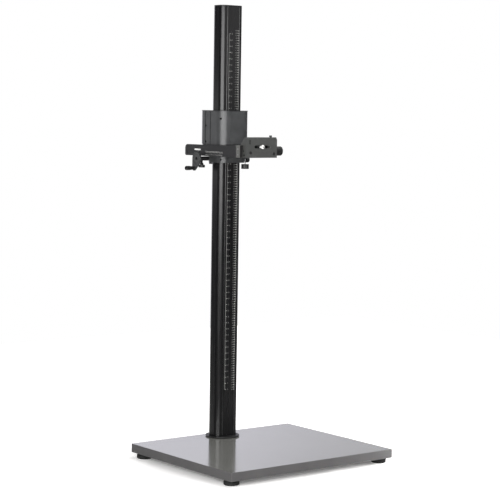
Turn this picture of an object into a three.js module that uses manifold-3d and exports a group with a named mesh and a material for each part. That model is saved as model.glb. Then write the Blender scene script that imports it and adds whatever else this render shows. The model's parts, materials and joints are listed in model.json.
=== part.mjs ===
// Copy stand: a laminated baseboard on rubber feet carries an extruded column. A crank-driven
// carriage climbs the column on rollers and holds a sliding arm with a camera plate.
// Millimetres, +Z up. X runs to the right and -Y is the user's side. The origin is the centre
// of the baseboard's top face, so a height is a height above the copy.

import * as THREE from "three";
import { mergeVertices } from "three/addons/utils/BufferGeometryUtils.js";
import Module from "manifold-3d";

const wasm = await Module();
wasm.setup();

// Facets
const cornerSteps = 6;
const innerSteps = 3;
const boreSteps = 4;
const wideSides = 36;
const roundSides = 18;
const smallSides = 10;
const fluteSides = 4;
const flankSteps = 2;

// Clearances
const seatGap = 0.2; // between faces that are screwed or pressed together
const runGap = 0.4; // between faces that slide or turn on each other
const boltGap = 0.3; // round a bolt or pin in its hole
const overrun = 4; // how far a cutter runs past the face it opens

// Baseboard
const boardWidth = 820;
const boardDepth = 680;
const boardThickness = 35;
const boardCornerRadius = 3;
const boardArris = 1.2;

// Feet
const footRadius = 33.5;
const footHeight = 22;
const footInsetX = 35;
const footInsetY = 45;
const footNeckHeight = 3;
const footNeckDepth = 1.8;
const footBevel = 4;
const footRecessRadius = 11;
const footRecessDepth = 12;
const footBoreRadius = 3.3;

// Column
const columnInset = 72; // from the board's back edge to the column's axis
const columnWidth = 110;
const columnDepth = 74;
const columnCornerRadius = 24;
const columnWall = 4;
const columnTop = 1787;
const seamWidth = 2.6; // the fine groove beside the front flat
const seamDepth = 1.8;
const seamFromCorner = 0.4;
const screwBossRadius = 9;
const screwBossSkin = 1;
const capThickness = 6;
const capPlugDepth = 12;
const capBevel = 1;

// Foot flange and the bolts that hold the column down
const flangeRadius = 71;
const flangeThickness = 7;
const flangeSeatDepth = 1;
const flangeBevel = 1.5;
const boltRadius = 5;
const boltBite = 40; // length of bolt in the column
const boltHeadRadius = 9.5;
const boltHeadHeight = 6.4;
const boltPocketRadius = 13;
const boltPocketDepth = 10;

// Column rack and its pinion
const pressureAngle = 20;
const addendumShare = 0.85; // stub teeth
const dedendumShare = 1.1;
const backlash = 0.3;
const liftModule = 3;
const liftTeeth = 14;
const rackWidth = 20;
const rackBody = 5; // from the rack's back to the roots of its teeth
const rackSink = 4; // from the column's back face in to the rack's pitch line
const rackLow = 45;
const rackHigh = 1615;

// Carriage: heights are above its own lowest face
const carriageHeight = 1148;
const collarWidth = 132;
const collarFront = 62;
const collarBack = 55;
const collarRadius = 35;
const collarHeight = 26;
const housingWidth = 150;
const housingFront = 72;
const housingBack = 98;
const housingRadius = 43;
const housingHeight = 142;
const shellWall = 3.5;
const seamGap = 1; // dark joint between the shell's pieces
const frontSeam = 11; // joint behind the front shell, from the column's axis
const rearSeam = 46; // joint in front of the rear shell
const lidThickness = 3;
const lidOverhang = 1.5;
const lidClearance = 1.2;
const facePlateHalfWidth = 31.5;
const facePlateThickness = 2.2;
const facePlateProud = 0.7;
const bandNarrowing = 1; // the band between the rails, inside the housing's sides
const bandHeight = 47;
const flangeBandHeight = 12; // the core's two bands that carry the shells
const coreWidth = 124;
const coreFront = 60;
const coreBack = 66;
const coreRadius = 30;
const boreClearance = 1; // between the column and the casting

// Gear case behind the column, crank shaft and its sleeve
const caseHalfWidth = 26;
const caseFront = 40;
const caseBack = 84;
const caseLow = -14;
const casePocketHalfWidth = 9.5;
const casePocketClearance = 2;
const caseCoverThickness = 3;
const caseCoverHalfWidth = 20;
const crankShaftHeight = 15;
const crankShaftRadius = 6;
const pinionHalfWidth = 8;
const shaftEndPast = 6; // shaft beyond the gear case on the right
const sleeveRadius = 9;
const sleeveEnd = 104; // from the column's axis to the sleeve's free end
const bushWall = 1.6;
const bushLength = 14;

// Crank
const crankFace = 114; // from the column's axis to the crank's outer face
const crankThickness = 7;
const crankHubRadius = 28;
const crankTipRadius = 11;
const crankRadius = 43;
const crankAngle = 23; // from straight down, towards the back
const crankBevel = 1.4;
const crankBossRadius = 13;
const crankBossRise = 2;
const handleLength = 40;
const handleRadius = 9;
const handleWaist = 7.6;
const handleNeck = 6.2;
const handleNeckLength = 3;
const handlePinRadius = 3.5;
const handlePinHeadRadius = 5.4;
const handlePinHeadLength = 3;

// Height lock under the sleeve
const liftLockX = 85;
const liftLockRadius = 13.5;
const liftLockThickness = 11;
const liftLockDrop = 37; // from the crank shaft's axis down to the knob's lowest face
const lockStemRadius = 3;
const lockConeRadius = 8.4;
const lockConeHeight = 9;
const knobFlutes = 8;
const knobFluteDepth = 0.9;

// Guide rollers
const frontRollerRadius = 8;
const rearRollerRadius = 9;
const rollerHalfLength = 22;
const rollerAxleRadius = 3;
const rollerAxleHalfLength = 44;
const rollerPocketGap = 1.6;
const lowerFrontRollerHeight = 13;
const lowerRearRollerHeight = 58;
const upperRollerHeight = 176;

// Guide adjuster behind the hole in the left front corner
const adjusterHeight = 181;
const adjusterAngle = 32;
const adjusterHoleRadius = 3.25;
const adjusterRadius = 3;
const adjusterInner = 14;
const adjusterOuter = 29;
const adjusterSocketRadius = 1.6;
const adjusterSocketDepth = 3;

// Arm rails and their slide strips
const railInner = 75.6;
const railThickness = 14.4;
const railRear = 167;
const railFront = 186.8;
const railHeight = 46;
const railRearRadius = 15;
const railGrooveDepth = 6;
const railGrooveHeight = 22;
const stripFront = 64;
const stripBack = 88;
const bridgeThickness = 9;
const bridgeInset = 3;
const bridgeHeight = 30;

// Arm drive: rack under the right rail, pinion, knob and lock
const armModule = 1.5;
const armTeeth = 16;
const armRackWidth = 6;
const armRackFront = 78;
const armRackBack = 64;
const armRackBody = 4;
const armShaftY = 2;
const armShaftHeight = 12;
const armShaftRadius = 4;
const armShaftInner = 59;
const armBossRadius = 9;
const armBossEnd = 74;
const armKnobInner = 103;
const armKnobThickness = 14;
const armKnobRadius = 13;
const armLockX = 85.5;
const armLockY = -18.5;
const armLockRadius = 16;
const armLockThickness = 20;
const armLockDrop = 27; // from the carriage's lowest face down to the knob's
const lugRadius = 6;
const lugThickness = 6;
const lugInner = 60;

// Front beam
const beamFront = 211;
const beamOuter = 90;
const beamTop = 75.7;
const beamPostInner = 64;
const beamBarTop = 48;
const rodLugHalfWidth = 8;
const rodLugX = 40;
const rodLugTop = 44;
const rodLugReach = 18.5;
const nutHalfWidth = 8;
const nutLow = 44.2;
const nutHigh = 58;
const nutReach = 14.5;

// Camera plate
const plateHalfWidth = 78;
const plateFront = 240;
const plateLow = 26;
const plateHigh = 109;
const plateThickness = 10;
const plateBevelDrop = 11;
const plateBevelBack = 6;
const plateTopDepth = 14;
const hoodBack = 200;
const hoodLow = 76;
const cheekThickness = 12;
const cheekBack = 218;
const slotLeft = 37;
const slotRight = 40;
const slotHalfHeight = 6;
const slotHeight = 70;
const guideRodRadius = 4;
const guideRodY = 224;
const guideRodHeight = 36;

// Cross-slide screw and knurled knob
const shiftScrewRadius = 3;
const shiftScrewY = 220.5;
const shiftScrewHeight = 53;
const shiftKnobInner = 80;
const shiftKnobLength = 30;
const shiftKnobRadius = 19;
const shiftKnobBevel = 2;
const shiftKnobTeeth = 30;
const shiftKnobToothDepth = 0.9;
const shiftCollarRadius = 9;
const shiftTravelLength = 12; // each way from the middle
const shiftKnobRoom = 1.5; // round the knob in the beam's cut-away corner

// Camera screw and the block it slides with
const cameraScrewX = 5;
const cameraScrewRadius = 3.175;
const cameraScrewProud = 6;
const cameraKnobRadius = 11;
const cameraKnobThickness = 18;
const sliderHalfWidth = 22;
const sliderHalfHeight = 9;
const sliderThickness = 3.6;
const sliderCollarRadius = 5.6;
const sliderPinOffset = 15;
const sliderPinRadius = 2.2;
const sliderRecess = 0.8; // collar's and pin's ends, in from the camera plate's face

// Small knob on the camera plate's top edge
const topKnobX = 50;
const topKnobRadius = 4.2;
const topKnobHeight = 10;
const topKnobStemRadius = 1.8;
const topKnobStemLength = 9;
const topKnobNeck = 2;

// Derived places
const floorHeight = -boardThickness - footHeight;
const columnY = boardDepth / 2 - columnInset;
const columnBack = columnDepth / 2;
const flangeTop = flangeThickness - flangeSeatDepth;
const liftPinionRadius = (liftModule * liftTeeth) / 2;
const rackPitchY = columnBack - rackSink;
const crankShaftY = rackPitchY + liftPinionRadius;
const bandTop = collarHeight + bandHeight;
const housingTop = bandTop + housingHeight;
const lidBottom = housingTop - lidThickness;
const railLow = collarHeight + (bandHeight - railHeight) / 2;
const railHigh = railLow + railHeight;
const railOuter = railInner + railThickness;
const grooveLow = railLow + (railHeight - railGrooveHeight) / 2;
const grooveHigh = grooveLow + railGrooveHeight;
const armPinionRadius = (armModule * armTeeth) / 2;
const armRackInner = railInner;
const armRackPitch = armShaftHeight + armPinionRadius;
const lugTop = armRackPitch - addendumShare * armModule - runGap;

// Finishes
function finish(color, roughness, metalness) {
  return new THREE.MeshStandardMaterial({ color, roughness, metalness });
}

const laminate = finish(0x9a9a98, 0.35, 0);
const blackRubber = finish(0x1b1b1b, 0.85, 0);
const blackAnodised = finish(0x1d1d1f, 0.45, 0.6);
const greyPaint = finish(0x515456, 0.5, 0.1);
const darkPaint = finish(0x2a2b2c, 0.5, 0.1);
const blackPlastic = finish(0x121212, 0.5, 0);
const zincSteel = finish(0xa4a6a8, 0.35, 0.9);
const brightSteel = finish(0xd6d8da, 0.2, 1);
const bronze = finish(0xa17a4a, 0.4, 0.9);
const slidePlastic = finish(0xd9d7cf, 0.5, 0);
const greyAluminium = finish(0x6d6f70, 0.45, 0.6);

// Outlines

const radians = THREE.MathUtils.degToRad;

function point(x, y) {
  return new THREE.Vector2(x, y);
}

function arc(x, y, radius, from, to, steps = cornerSteps) {
  const points = [];
  for (let step = 0; step <= steps; step += 1) {
    const angle = radians(from + ((to - from) * step) / steps);
    points.push(point(x + radius * Math.cos(angle), y + radius * Math.sin(angle)));
  }
  return points;
}

function circle(x, y, radius, sides = roundSides) {
  return arc(x, y, radius, 0, 360, sides).slice(0, sides);
}

function rectangle(x0, y0, x1, y1) {
  return [point(x0, y0), point(x1, y0), point(x1, y1), point(x0, y1)];
}

function roundedRectangle(x0, y0, x1, y1, radius, steps = cornerSteps) {
  return [
    ...arc(x0 + radius, y0 + radius, radius, 180, 270, steps),
    ...arc(x1 - radius, y0 + radius, radius, 270, 360, steps),
    ...arc(x1 - radius, y1 - radius, radius, 0, 90, steps),
    ...arc(x0 + radius, y1 - radius, radius, 90, 180, steps),
  ];
}

// Two circles and their common tangents: the outline of a crank arm or a lug.
function teardrop(x0, y0, radius0, x1, y1, radius1) {
  const apart = Math.hypot(x1 - x0, y1 - y0);
  const along = THREE.MathUtils.radToDeg(Math.atan2(y1 - y0, x1 - x0));
  const spread = THREE.MathUtils.radToDeg(Math.acos((radius0 - radius1) / apart));
  return [
    ...arc(x0, y0, radius0, along + spread, along + 360 - spread, roundSides),
    ...arc(x1, y1, radius1, along - spread, along + spread, smallSides),
  ];
}

// A circle with shallow flutes, for a knob's grip.
function fluted(x, y, radius, flutes, depth, sides = flutes * fluteSides) {
  const points = [];
  for (let side = 0; side < sides; side += 1) {
    const angle = (side / sides) * 2 * Math.PI;
    const reach = radius - (depth * (1 - Math.cos(angle * flutes))) / 2;
    points.push(point(x + reach * Math.cos(angle), y + reach * Math.sin(angle)));
  }
  return points;
}

// Solids

function solid(geometry) {
  const bare = geometry.clone();
  bare.deleteAttribute("normal");
  bare.deleteAttribute("uv");
  const merged = mergeVertices(bare, 1e-4);
  return new wasm.Manifold(
    new wasm.Mesh({
      numProp: 3,
      vertProperties: merged.attributes.position.array,
      triVerts: new Uint32Array(merged.index.array),
    }),
  );
}

function extruded(outline, holes, depth, bevel = 0) {
  const shape = new THREE.Shape(outline);
  shape.holes = holes.map((hole) => new THREE.Path(hole));
  const geometry = new THREE.ExtrudeGeometry(shape, {
    depth: depth - 2 * bevel,
    bevelEnabled: bevel > 0,
    bevelThickness: bevel,
    bevelSize: bevel,
    bevelOffset: -bevel,
    bevelSegments: 1,
  });
  return geometry.translate(0, 0, bevel);
}

const alongX = new THREE.Matrix4().makeBasis(
  new THREE.Vector3(0, 1, 0),
  new THREE.Vector3(0, 0, 1),
  new THREE.Vector3(1, 0, 0),
);
const alongY = new THREE.Matrix4().makeBasis(
  new THREE.Vector3(1, 0, 0),
  new THREE.Vector3(0, 0, 1),
  new THREE.Vector3(0, -1, 0),
);

// An outline in X and Y, from one height to another.
function upright(outline, low, high, bevel = 0, holes = []) {
  return solid(extruded(outline, holes, high - low, bevel).translate(0, 0, low));
}

// An outline in Y and Z, from one X to another.
function across(outline, left, right, bevel = 0, holes = []) {
  const geometry = extruded(outline, holes, right - left, bevel);
  return solid(geometry.applyMatrix4(alongX).translate(left, 0, 0));
}

// An outline in X and Z, from one Y to another.
function foreAndAft(outline, front, back, bevel = 0, holes = []) {
  const geometry = extruded(outline, holes, back - front, bevel);
  return solid(geometry.applyMatrix4(alongY).translate(0, back, 0));
}

function block(x0, x1, y0, y1, z0, z1) {
  return upright(rectangle(x0, y0, x1, y1), z0, z1);
}

// A profile of radii and heights from its lowest point on the axis to its highest, turned about Z.
function turned(profile, sides = roundSides) {
  const points = profile.map(([radius, height]) => point(radius, height));
  return solid(new THREE.LatheGeometry(points, sides).rotateX(Math.PI / 2));
}

function rodX(y, z, radius, left, right, sides = roundSides) {
  return across(circle(y, z, radius, sides), left, right);
}

function rodY(x, z, radius, front, back, sides = roundSides) {
  return foreAndAft(circle(x, z, radius, sides), front, back);
}

function rodZ(x, y, radius, low, high, sides = roundSides) {
  return upright(circle(x, y, radius, sides), low, high);
}

function cut(body, ...cutters) {
  return cutters.reduce((left, cutter) => left.subtract(cutter), body);
}

function join(body, ...others) {
  return others.reduce((whole, other) => whole.add(other), body);
}

function mirrored(body) {
  return body.mirror([1, 0, 0]);
}

function piece(group, name, body, material) {
  const made = body.getMesh();
  const geometry = new THREE.BufferGeometry();
  geometry.setAttribute("position", new THREE.BufferAttribute(made.vertProperties, 3));
  geometry.setIndex(new THREE.BufferAttribute(made.triVerts, 1));
  const faceted = geometry.toNonIndexed();
  faceted.computeVertexNormals();
  const mesh = new THREE.Mesh(faceted, material);
  mesh.name = name;
  group.add(mesh);
  return mesh;
}

function placed(parent, x, y, z) {
  const group = new THREE.Group();
  group.position.set(x, y, z);
  parent.add(group);
  return group;
}

// Teeth

// A straight rack whose teeth point along the outline's first axis. The pitch line is at
// pitchAt, and a tooth space is centred on spaceAt, so a pinion tooth fits there.
function rackOutline(size, pitchAt, backAt, spaceAt, low, high) {
  const pitch = Math.PI * size;
  const rise = addendumShare * size;
  const fall = dedendumShare * size;
  const lean = Math.tan(radians(pressureAngle));
  const halfTooth = pitch / 4 - backlash / 2;
  const side = Math.sign(pitchAt - backAt);
  const first = Math.ceil((low - spaceAt) / pitch);
  const last = Math.floor((high - spaceAt) / pitch);
  const points = [point(backAt, spaceAt + first * pitch), point(pitchAt - side * fall, spaceAt + first * pitch)];
  for (let tooth = first; tooth < last; tooth += 1) {
    const middle = spaceAt + (tooth + 0.5) * pitch;
    const root = halfTooth + fall * lean;
    const tip = halfTooth - rise * lean;
    points.push(point(pitchAt - side * fall, middle - root));
    points.push(point(pitchAt + side * rise, middle - tip));
    points.push(point(pitchAt + side * rise, middle + tip));
    points.push(point(pitchAt - side * fall, middle + root));
  }
  points.push(point(pitchAt - side * fall, spaceAt + last * pitch));
  points.push(point(backAt, spaceAt + last * pitch));
  return side > 0 ? points : points.reverse();
}

// An involute pinion with one tooth centred on the direction given in degrees.
function pinionOutline(size, teeth, x, y, toothAt) {
  const pitchRadius = (size * teeth) / 2;
  const angle = radians(pressureAngle);
  const baseRadius = pitchRadius * Math.cos(angle);
  const tipRadius = pitchRadius + addendumShare * size;
  const rootRadius = pitchRadius - dedendumShare * size;
  const involute = (radius) => {
    const swing = Math.acos(Math.min(1, baseRadius / radius));
    return Math.tan(swing) - swing;
  };
  const halfAtPitch = Math.PI / (2 * teeth) - backlash / (2 * pitchRadius);
  const halfAt = (radius) => halfAtPitch + involute(pitchRadius) - involute(radius);
  const start = Math.max(baseRadius, rootRadius);
  const flank = [[rootRadius, halfAt(start)]];
  for (let step = 0; step <= flankSteps; step += 1) {
    const radius = start + ((tipRadius - start) * step) / flankSteps;
    flank.push([radius, halfAt(radius)]);
  }
  const points = [];
  for (let tooth = 0; tooth < teeth; tooth += 1) {
    const middle = radians(toothAt) + (tooth / teeth) * 2 * Math.PI;
    const rising = flank.map(([radius, half]) => [radius, middle - half]);
    const falling = flank.map(([radius, half]) => [radius, middle + half]).reverse();
    for (const [radius, at] of [...rising, ...falling]) {
      points.push(point(x + radius * Math.cos(at), y + radius * Math.sin(at)));
    }
  }
  return points;
}

// Baseboard and feet

const stand = new THREE.Group();
const halfWidth = columnWidth / 2;
const bossReach = columnCornerRadius - screwBossRadius - screwBossSkin;
const bossX = halfWidth - columnCornerRadius + bossReach * Math.SQRT1_2;
const bossY = columnBack - columnCornerRadius + bossReach * Math.SQRT1_2;
const boltPlaces = [
  ["front_left", -bossX, -bossY],
  ["front_right", bossX, -bossY],
  ["rear_left", -bossX, bossY],
  ["rear_right", bossX, bossY],
];
const footX = boardWidth / 2 - footInsetX;
const footY = boardDepth / 2 - footInsetY;
const footPlaces = [
  ["front_left", -footX, -footY],
  ["front_right", footX, -footY],
  ["rear_left", -footX, footY],
  ["rear_right", footX, footY],
];

function buildBaseboard() {
  const outline = roundedRectangle(
    -boardWidth / 2,
    -boardDepth / 2,
    boardWidth / 2,
    boardDepth / 2,
    boardCornerRadius,
    innerSteps,
  );
  let board = upright(outline, -boardThickness, 0, boardArris);
  const seatRadius = flangeRadius + boltGap;
  board = cut(board, rodZ(0, columnY, seatRadius, -flangeSeatDepth, overrun, wideSides));
  for (const [, x, y] of boltPlaces) {
    const hole = rodZ(x, y + columnY, boltRadius + boltGap, -boardThickness - overrun, overrun, smallSides);
    const pocketTop = boltPocketDepth - boardThickness;
    const pocket = rodZ(x, y + columnY, boltPocketRadius, -boardThickness - overrun, pocketTop, smallSides);
    board = cut(board, hole, pocket);
  }
  piece(stand, "baseboard", board, laminate);
}

function buildFeet() {
  const top = -boardThickness - seatGap;
  const bottom = floorHeight;
  const recessTop = bottom + footRecessDepth;
  const neckLow = top - footNeckHeight;
  const footProfile = [
    [footRecessRadius, bottom],
    [footRadius - footBevel, bottom],
    [footRadius, bottom + footBevel],
    [footRadius, neckLow],
    [footRadius - footNeckDepth, neckLow],
    [footRadius - footNeckDepth, top],
    [footBoreRadius, top],
    [footBoreRadius, recessTop],
    [footRecessRadius, recessTop],
    [footRecessRadius, bottom],
  ];
  for (const [name, x, y] of footPlaces) {
    piece(placed(stand, x, y, 0), "foot_" + name, turned(footProfile), blackRubber);
  }
}

buildBaseboard();
buildFeet();

// Column, flange, cap, rack and bolts

const columnSite = placed(stand, 0, columnY, 0);
const channelHalfWidth = rackWidth / 2 + seatGap;
const rackBackY = rackPitchY - dedendumShare * liftModule - rackBody;
const channelFloorY = rackBackY - seatGap;
const pinionHeight = carriageHeight + crankShaftHeight;

function columnOutline() {
  const cornerX = halfWidth - columnCornerRadius;
  const cornerY = columnBack - columnCornerRadius;
  const seamOuter = cornerX - seamFromCorner;
  const seamMiddle = seamOuter - seamWidth / 2;
  const seamInner = seamOuter - seamWidth;
  return [
    ...arc(-cornerX, -cornerY, columnCornerRadius, 180, 270),
    point(-seamOuter, -columnBack),
    point(-seamMiddle, seamDepth - columnBack),
    point(-seamInner, -columnBack),
    point(seamInner, -columnBack),
    point(seamMiddle, seamDepth - columnBack),
    point(seamOuter, -columnBack),
    ...arc(cornerX, -cornerY, columnCornerRadius, 270, 360),
    ...arc(cornerX, cornerY, columnCornerRadius, 0, 90),
    point(channelHalfWidth, columnBack),
    point(channelHalfWidth, channelFloorY),
    point(-channelHalfWidth, channelFloorY),
    point(-channelHalfWidth, columnBack),
    ...arc(-cornerX, cornerY, columnCornerRadius, 90, 180),
  ];
}

// The hollow on the right of the web, between the two rounded corners.
function chamberOutline() {
  const cornerX = halfWidth - columnCornerRadius;
  const cornerY = columnBack - columnCornerRadius;
  const radius = columnCornerRadius - columnWall;
  const webX = channelHalfWidth + columnWall;
  const wallY = columnBack - columnWall;
  return [
    point(webX, -wallY),
    ...arc(cornerX, -cornerY, radius, 270, 360, innerSteps),
    ...arc(cornerX, cornerY, radius, 0, 90, innerSteps),
    point(webX, wallY),
  ];
}

function buildColumn() {
  const low = flangeTop + seatGap;
  const from = low - overrun;
  const to = columnTop + overrun;
  const chamber = upright(chamberOutline(), from, to);
  const middle = block(
    -channelHalfWidth,
    channelHalfWidth,
    columnWall - columnBack,
    channelFloorY - columnWall,
    from,
    to,
  );
  let column = cut(upright(columnOutline(), low, columnTop), chamber, mirrored(chamber), middle);
  for (const [, x, y] of boltPlaces) {
    column = join(column, rodZ(x, y, screwBossRadius, low, columnTop, smallSides));
  }
  for (const [, x, y] of boltPlaces) {
    column = cut(column, rodZ(x, y, boltRadius + boltGap, from, to, smallSides));
  }
  piece(columnSite, "column", column, blackAnodised);
}

function buildColumnFlange() {
  const profile = [
    [0, seatGap - flangeSeatDepth],
    [flangeRadius, seatGap - flangeSeatDepth],
    [flangeRadius, flangeTop - flangeBevel],
    [flangeRadius - flangeBevel, flangeTop],
    [0, flangeTop],
  ];
  let flange = turned(profile, wideSides);
  for (const [, x, y] of boltPlaces) {
    flange = cut(flange, rodZ(x, y, boltRadius + boltGap, -overrun, flangeTop + overrun, smallSides));
  }
  piece(columnSite, "column_flange", flange, blackAnodised);
}

function buildColumnCap() {
  const low = columnTop + seatGap;
  const outline = roundedRectangle(-halfWidth, -columnBack, halfWidth, columnBack, columnCornerRadius);
  const wallY = columnBack - columnWall - boltGap;
  const tongue = block(
    channelHalfWidth + columnWall + boltGap,
    bossX - screwBossRadius - boltGap,
    -wallY,
    wallY,
    low - capPlugDepth,
    low + capThickness / 2,
  );
  const cap = join(upright(outline, low, low + capThickness, capBevel), tongue, mirrored(tongue));
  piece(columnSite, "column_cap", cap, blackPlastic);
}

function buildColumnRack() {
  const outline = rackOutline(liftModule, rackPitchY, rackBackY, pinionHeight, rackLow, rackHigh);
  piece(columnSite, "column_rack", across(outline, -rackWidth / 2, rackWidth / 2), zincSteel);
}

function buildColumnBolts() {
  const headTop = boltPocketDepth - boardThickness - seatGap;
  const profile = [
    [0, headTop - boltHeadHeight],
    [boltHeadRadius, headTop - boltHeadHeight],
    [boltHeadRadius, headTop],
    [boltRadius, headTop],
    [boltRadius, flangeTop + boltBite],
    [0, flangeTop + boltBite],
  ];
  for (const [name, x, y] of boltPlaces) {
    piece(placed(columnSite, x, y, 0), "column_bolt_" + name, turned(profile, smallSides), zincSteel);
  }
}

buildColumn();
buildColumnFlange();
buildColumnCap();
buildColumnRack();
buildColumnBolts();

// Carriage

const carriage = placed(columnSite, 0, 0, carriageHeight);
const frontRollerY = -columnBack - seatGap - frontRollerRadius;
const rearRollerY = columnBack + seatGap + rearRollerRadius;
const rollers = [
  ["lower_front", frontRollerY, lowerFrontRollerHeight, frontRollerRadius],
  ["lower_rear", rearRollerY, lowerRearRollerHeight, rearRollerRadius],
  ["upper_front", frontRollerY, upperRollerHeight, frontRollerRadius],
  ["upper_rear", rearRollerY, upperRollerHeight, rearRollerRadius],
];
const shellBottom = bandTop + seatGap;
const shellTop = lidBottom - seatGap;
const adjusterX = housingRadius - housingWidth / 2;
const adjusterY = housingRadius - housingFront;
const pinionTipRadius = liftPinionRadius + addendumShare * liftModule;

function housingOutline(inset) {
  return roundedRectangle(
    inset - housingWidth / 2,
    inset - housingFront,
    housingWidth / 2 - inset,
    housingBack - inset,
    housingRadius - inset,
  );
}

function columnBore(clearance, low, high) {
  const x = halfWidth + clearance;
  const y = columnBack + clearance;
  const outline = roundedRectangle(-x, -y, x, y, columnCornerRadius + clearance, boreSteps);
  return upright(outline, low, high);
}

// A rod from the left front corner's centre outwards, in the adjuster's direction.
function adjusterRod(radius, inner, outer, sides = smallSides) {
  const body = rodX(0, 0, radius, inner, outer, sides);
  return body.rotate([0, 0, 180 + adjusterAngle]).translate([adjusterX, adjusterY, adjusterHeight]);
}

function buildCasting() {
  const collar = upright(
    roundedRectangle(-collarWidth / 2, -collarFront, collarWidth / 2, collarBack, collarRadius),
    0,
    collarHeight,
  );
  const band = upright(housingOutline(bandNarrowing), collarHeight, bandTop);
  const lowFlange = upright(housingOutline(shellWall + seatGap), bandTop, bandTop + flangeBandHeight);
  const topFlange = upright(housingOutline(shellWall + seatGap), shellTop - flangeBandHeight, shellTop);
  const core = upright(
    roundedRectangle(-coreWidth / 2, -coreFront, coreWidth / 2, coreBack, coreRadius, innerSteps),
    bandTop,
    shellTop,
  );
  const gearCase = block(-caseHalfWidth, caseHalfWidth, caseFront, caseBack, caseLow, collarHeight);
  const armBoss = rodX(armShaftY, armShaftHeight, armBossRadius, armShaftInner, armBossEnd);
  const lug = upright(
    teardrop(lugInner, armLockY, lugRadius, armLockX, armLockY, lugRadius),
    lugTop - lugThickness,
    lugTop,
  );
  let casting = join(collar, band, lowFlange, topFlange, core, gearCase, armBoss, lug);
  casting = cut(casting, columnBore(boreClearance, caseLow - overrun, shellTop + overrun));
  for (const [, y, z, radius] of rollers) {
    const room = radius + rollerPocketGap;
    const inner = Math.sign(y) * (columnBack - boreClearance);
    const outer = y + Math.sign(y) * room;
    const side = rollerHalfLength + rollerPocketGap;
    const pocket = block(-side, side, Math.min(inner, outer), Math.max(inner, outer), z - room, z + room);
    const reach = rollerAxleHalfLength + overrun;
    const axleBore = rodX(y, z, rollerAxleRadius + boltGap, -reach - collarWidth / 2, reach, smallSides);
    casting = cut(casting, pocket, axleBore);
  }
  const pinionRoom = pinionTipRadius + casePocketClearance;
  const pinionPocket = block(
    -casePocketHalfWidth,
    casePocketHalfWidth,
    columnBack,
    caseBack + overrun,
    crankShaftHeight - pinionRoom,
    crankShaftHeight + pinionRoom,
  );
  const sleeveBore = rodX(
    crankShaftY,
    crankShaftHeight,
    sleeveRadius + seatGap,
    -collarWidth / 2 - overrun,
    caseHalfWidth + shaftEndPast + overrun,
  );
  const armBore = rodX(
    armShaftY,
    armShaftHeight,
    armShaftRadius + runGap,
    armShaftInner - overrun,
    armBossEnd + overrun,
  );
  const lockBore = rodZ(armLockX, armLockY, lockStemRadius + boltGap, -overrun, collarHeight, smallSides);
  const adjusterBore = adjusterRod(adjusterRadius + boltGap, 0, housingRadius);
  piece(
    carriage,
    "carriage_casting",
    cut(casting, pinionPocket, sleeveBore, armBore, lockBore, adjusterBore),
    greyPaint,
  );
}

function buildShells() {
  const ring = cut(
    upright(housingOutline(0), shellBottom, shellTop),
    upright(housingOutline(shellWall), shellBottom - overrun, shellTop + overrun),
  );
  const far = housingWidth + housingBack;
  const halfSeam = seamGap / 2;
  const faceRoom = block(
    -facePlateHalfWidth - seatGap,
    facePlateHalfWidth + seatGap,
    -far,
    facePlateThickness - facePlateProud + seatGap - housingFront,
    shellBottom - overrun,
    shellTop + overrun,
  );
  const front = ring.intersect(block(-far, far, -far, frontSeam - halfSeam, shellBottom, shellTop));
  const rear = ring.intersect(block(-far, far, rearSeam + halfSeam, far, shellBottom, shellTop));
  const side = ring.intersect(
    block(-far, 0, frontSeam + halfSeam, rearSeam - halfSeam, shellBottom, shellTop),
  );
  const accessHole = adjusterRod(adjusterHoleRadius, adjusterOuter, housingRadius + overrun);
  piece(carriage, "housing_front_shell", cut(front, faceRoom, accessHole), greyPaint);
  piece(carriage, "housing_rear_shell", rear, greyPaint);
  piece(carriage, "housing_side_strip_left", side, greyPaint);
  piece(carriage, "housing_side_strip_right", mirrored(side), greyPaint);
  const facePlate = block(
    -facePlateHalfWidth,
    facePlateHalfWidth,
    -housingFront - facePlateProud,
    facePlateThickness - facePlateProud - housingFront,
    shellBottom,
    shellTop,
  );
  piece(carriage, "housing_face_plate", facePlate, greyPaint);
  const lid = cut(
    upright(housingOutline(-lidOverhang), lidBottom, housingTop),
    columnBore(lidClearance, lidBottom - overrun, housingTop + overrun),
  );
  piece(carriage, "housing_lid", lid, darkPaint);
}

function buildGuideAdjuster() {
  const socket = adjusterRod(adjusterSocketRadius, adjusterOuter - adjusterSocketDepth, adjusterOuter + overrun, 6);
  const screw = cut(adjusterRod(adjusterRadius, adjusterInner, adjusterOuter), socket);
  piece(carriage, "guide_adjuster", screw, zincSteel);
}

function buildRollers() {
  for (const [name, y, z, radius] of rollers) {
    const site = placed(carriage, 0, y, z);
    const bore = rollerAxleRadius + runGap;
    const roller = cut(
      rodX(0, 0, radius, -rollerHalfLength, rollerHalfLength),
      rodX(0, 0, bore, -rollerHalfLength - overrun, rollerHalfLength + overrun, smallSides),
    );
    piece(site, "roller_" + name, roller, slidePlastic);
    const axle = rodX(0, 0, rollerAxleRadius, -rollerAxleHalfLength, rollerAxleHalfLength, smallSides);
    piece(site, "roller_axle_" + name, axle, zincSteel);
  }
}

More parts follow.
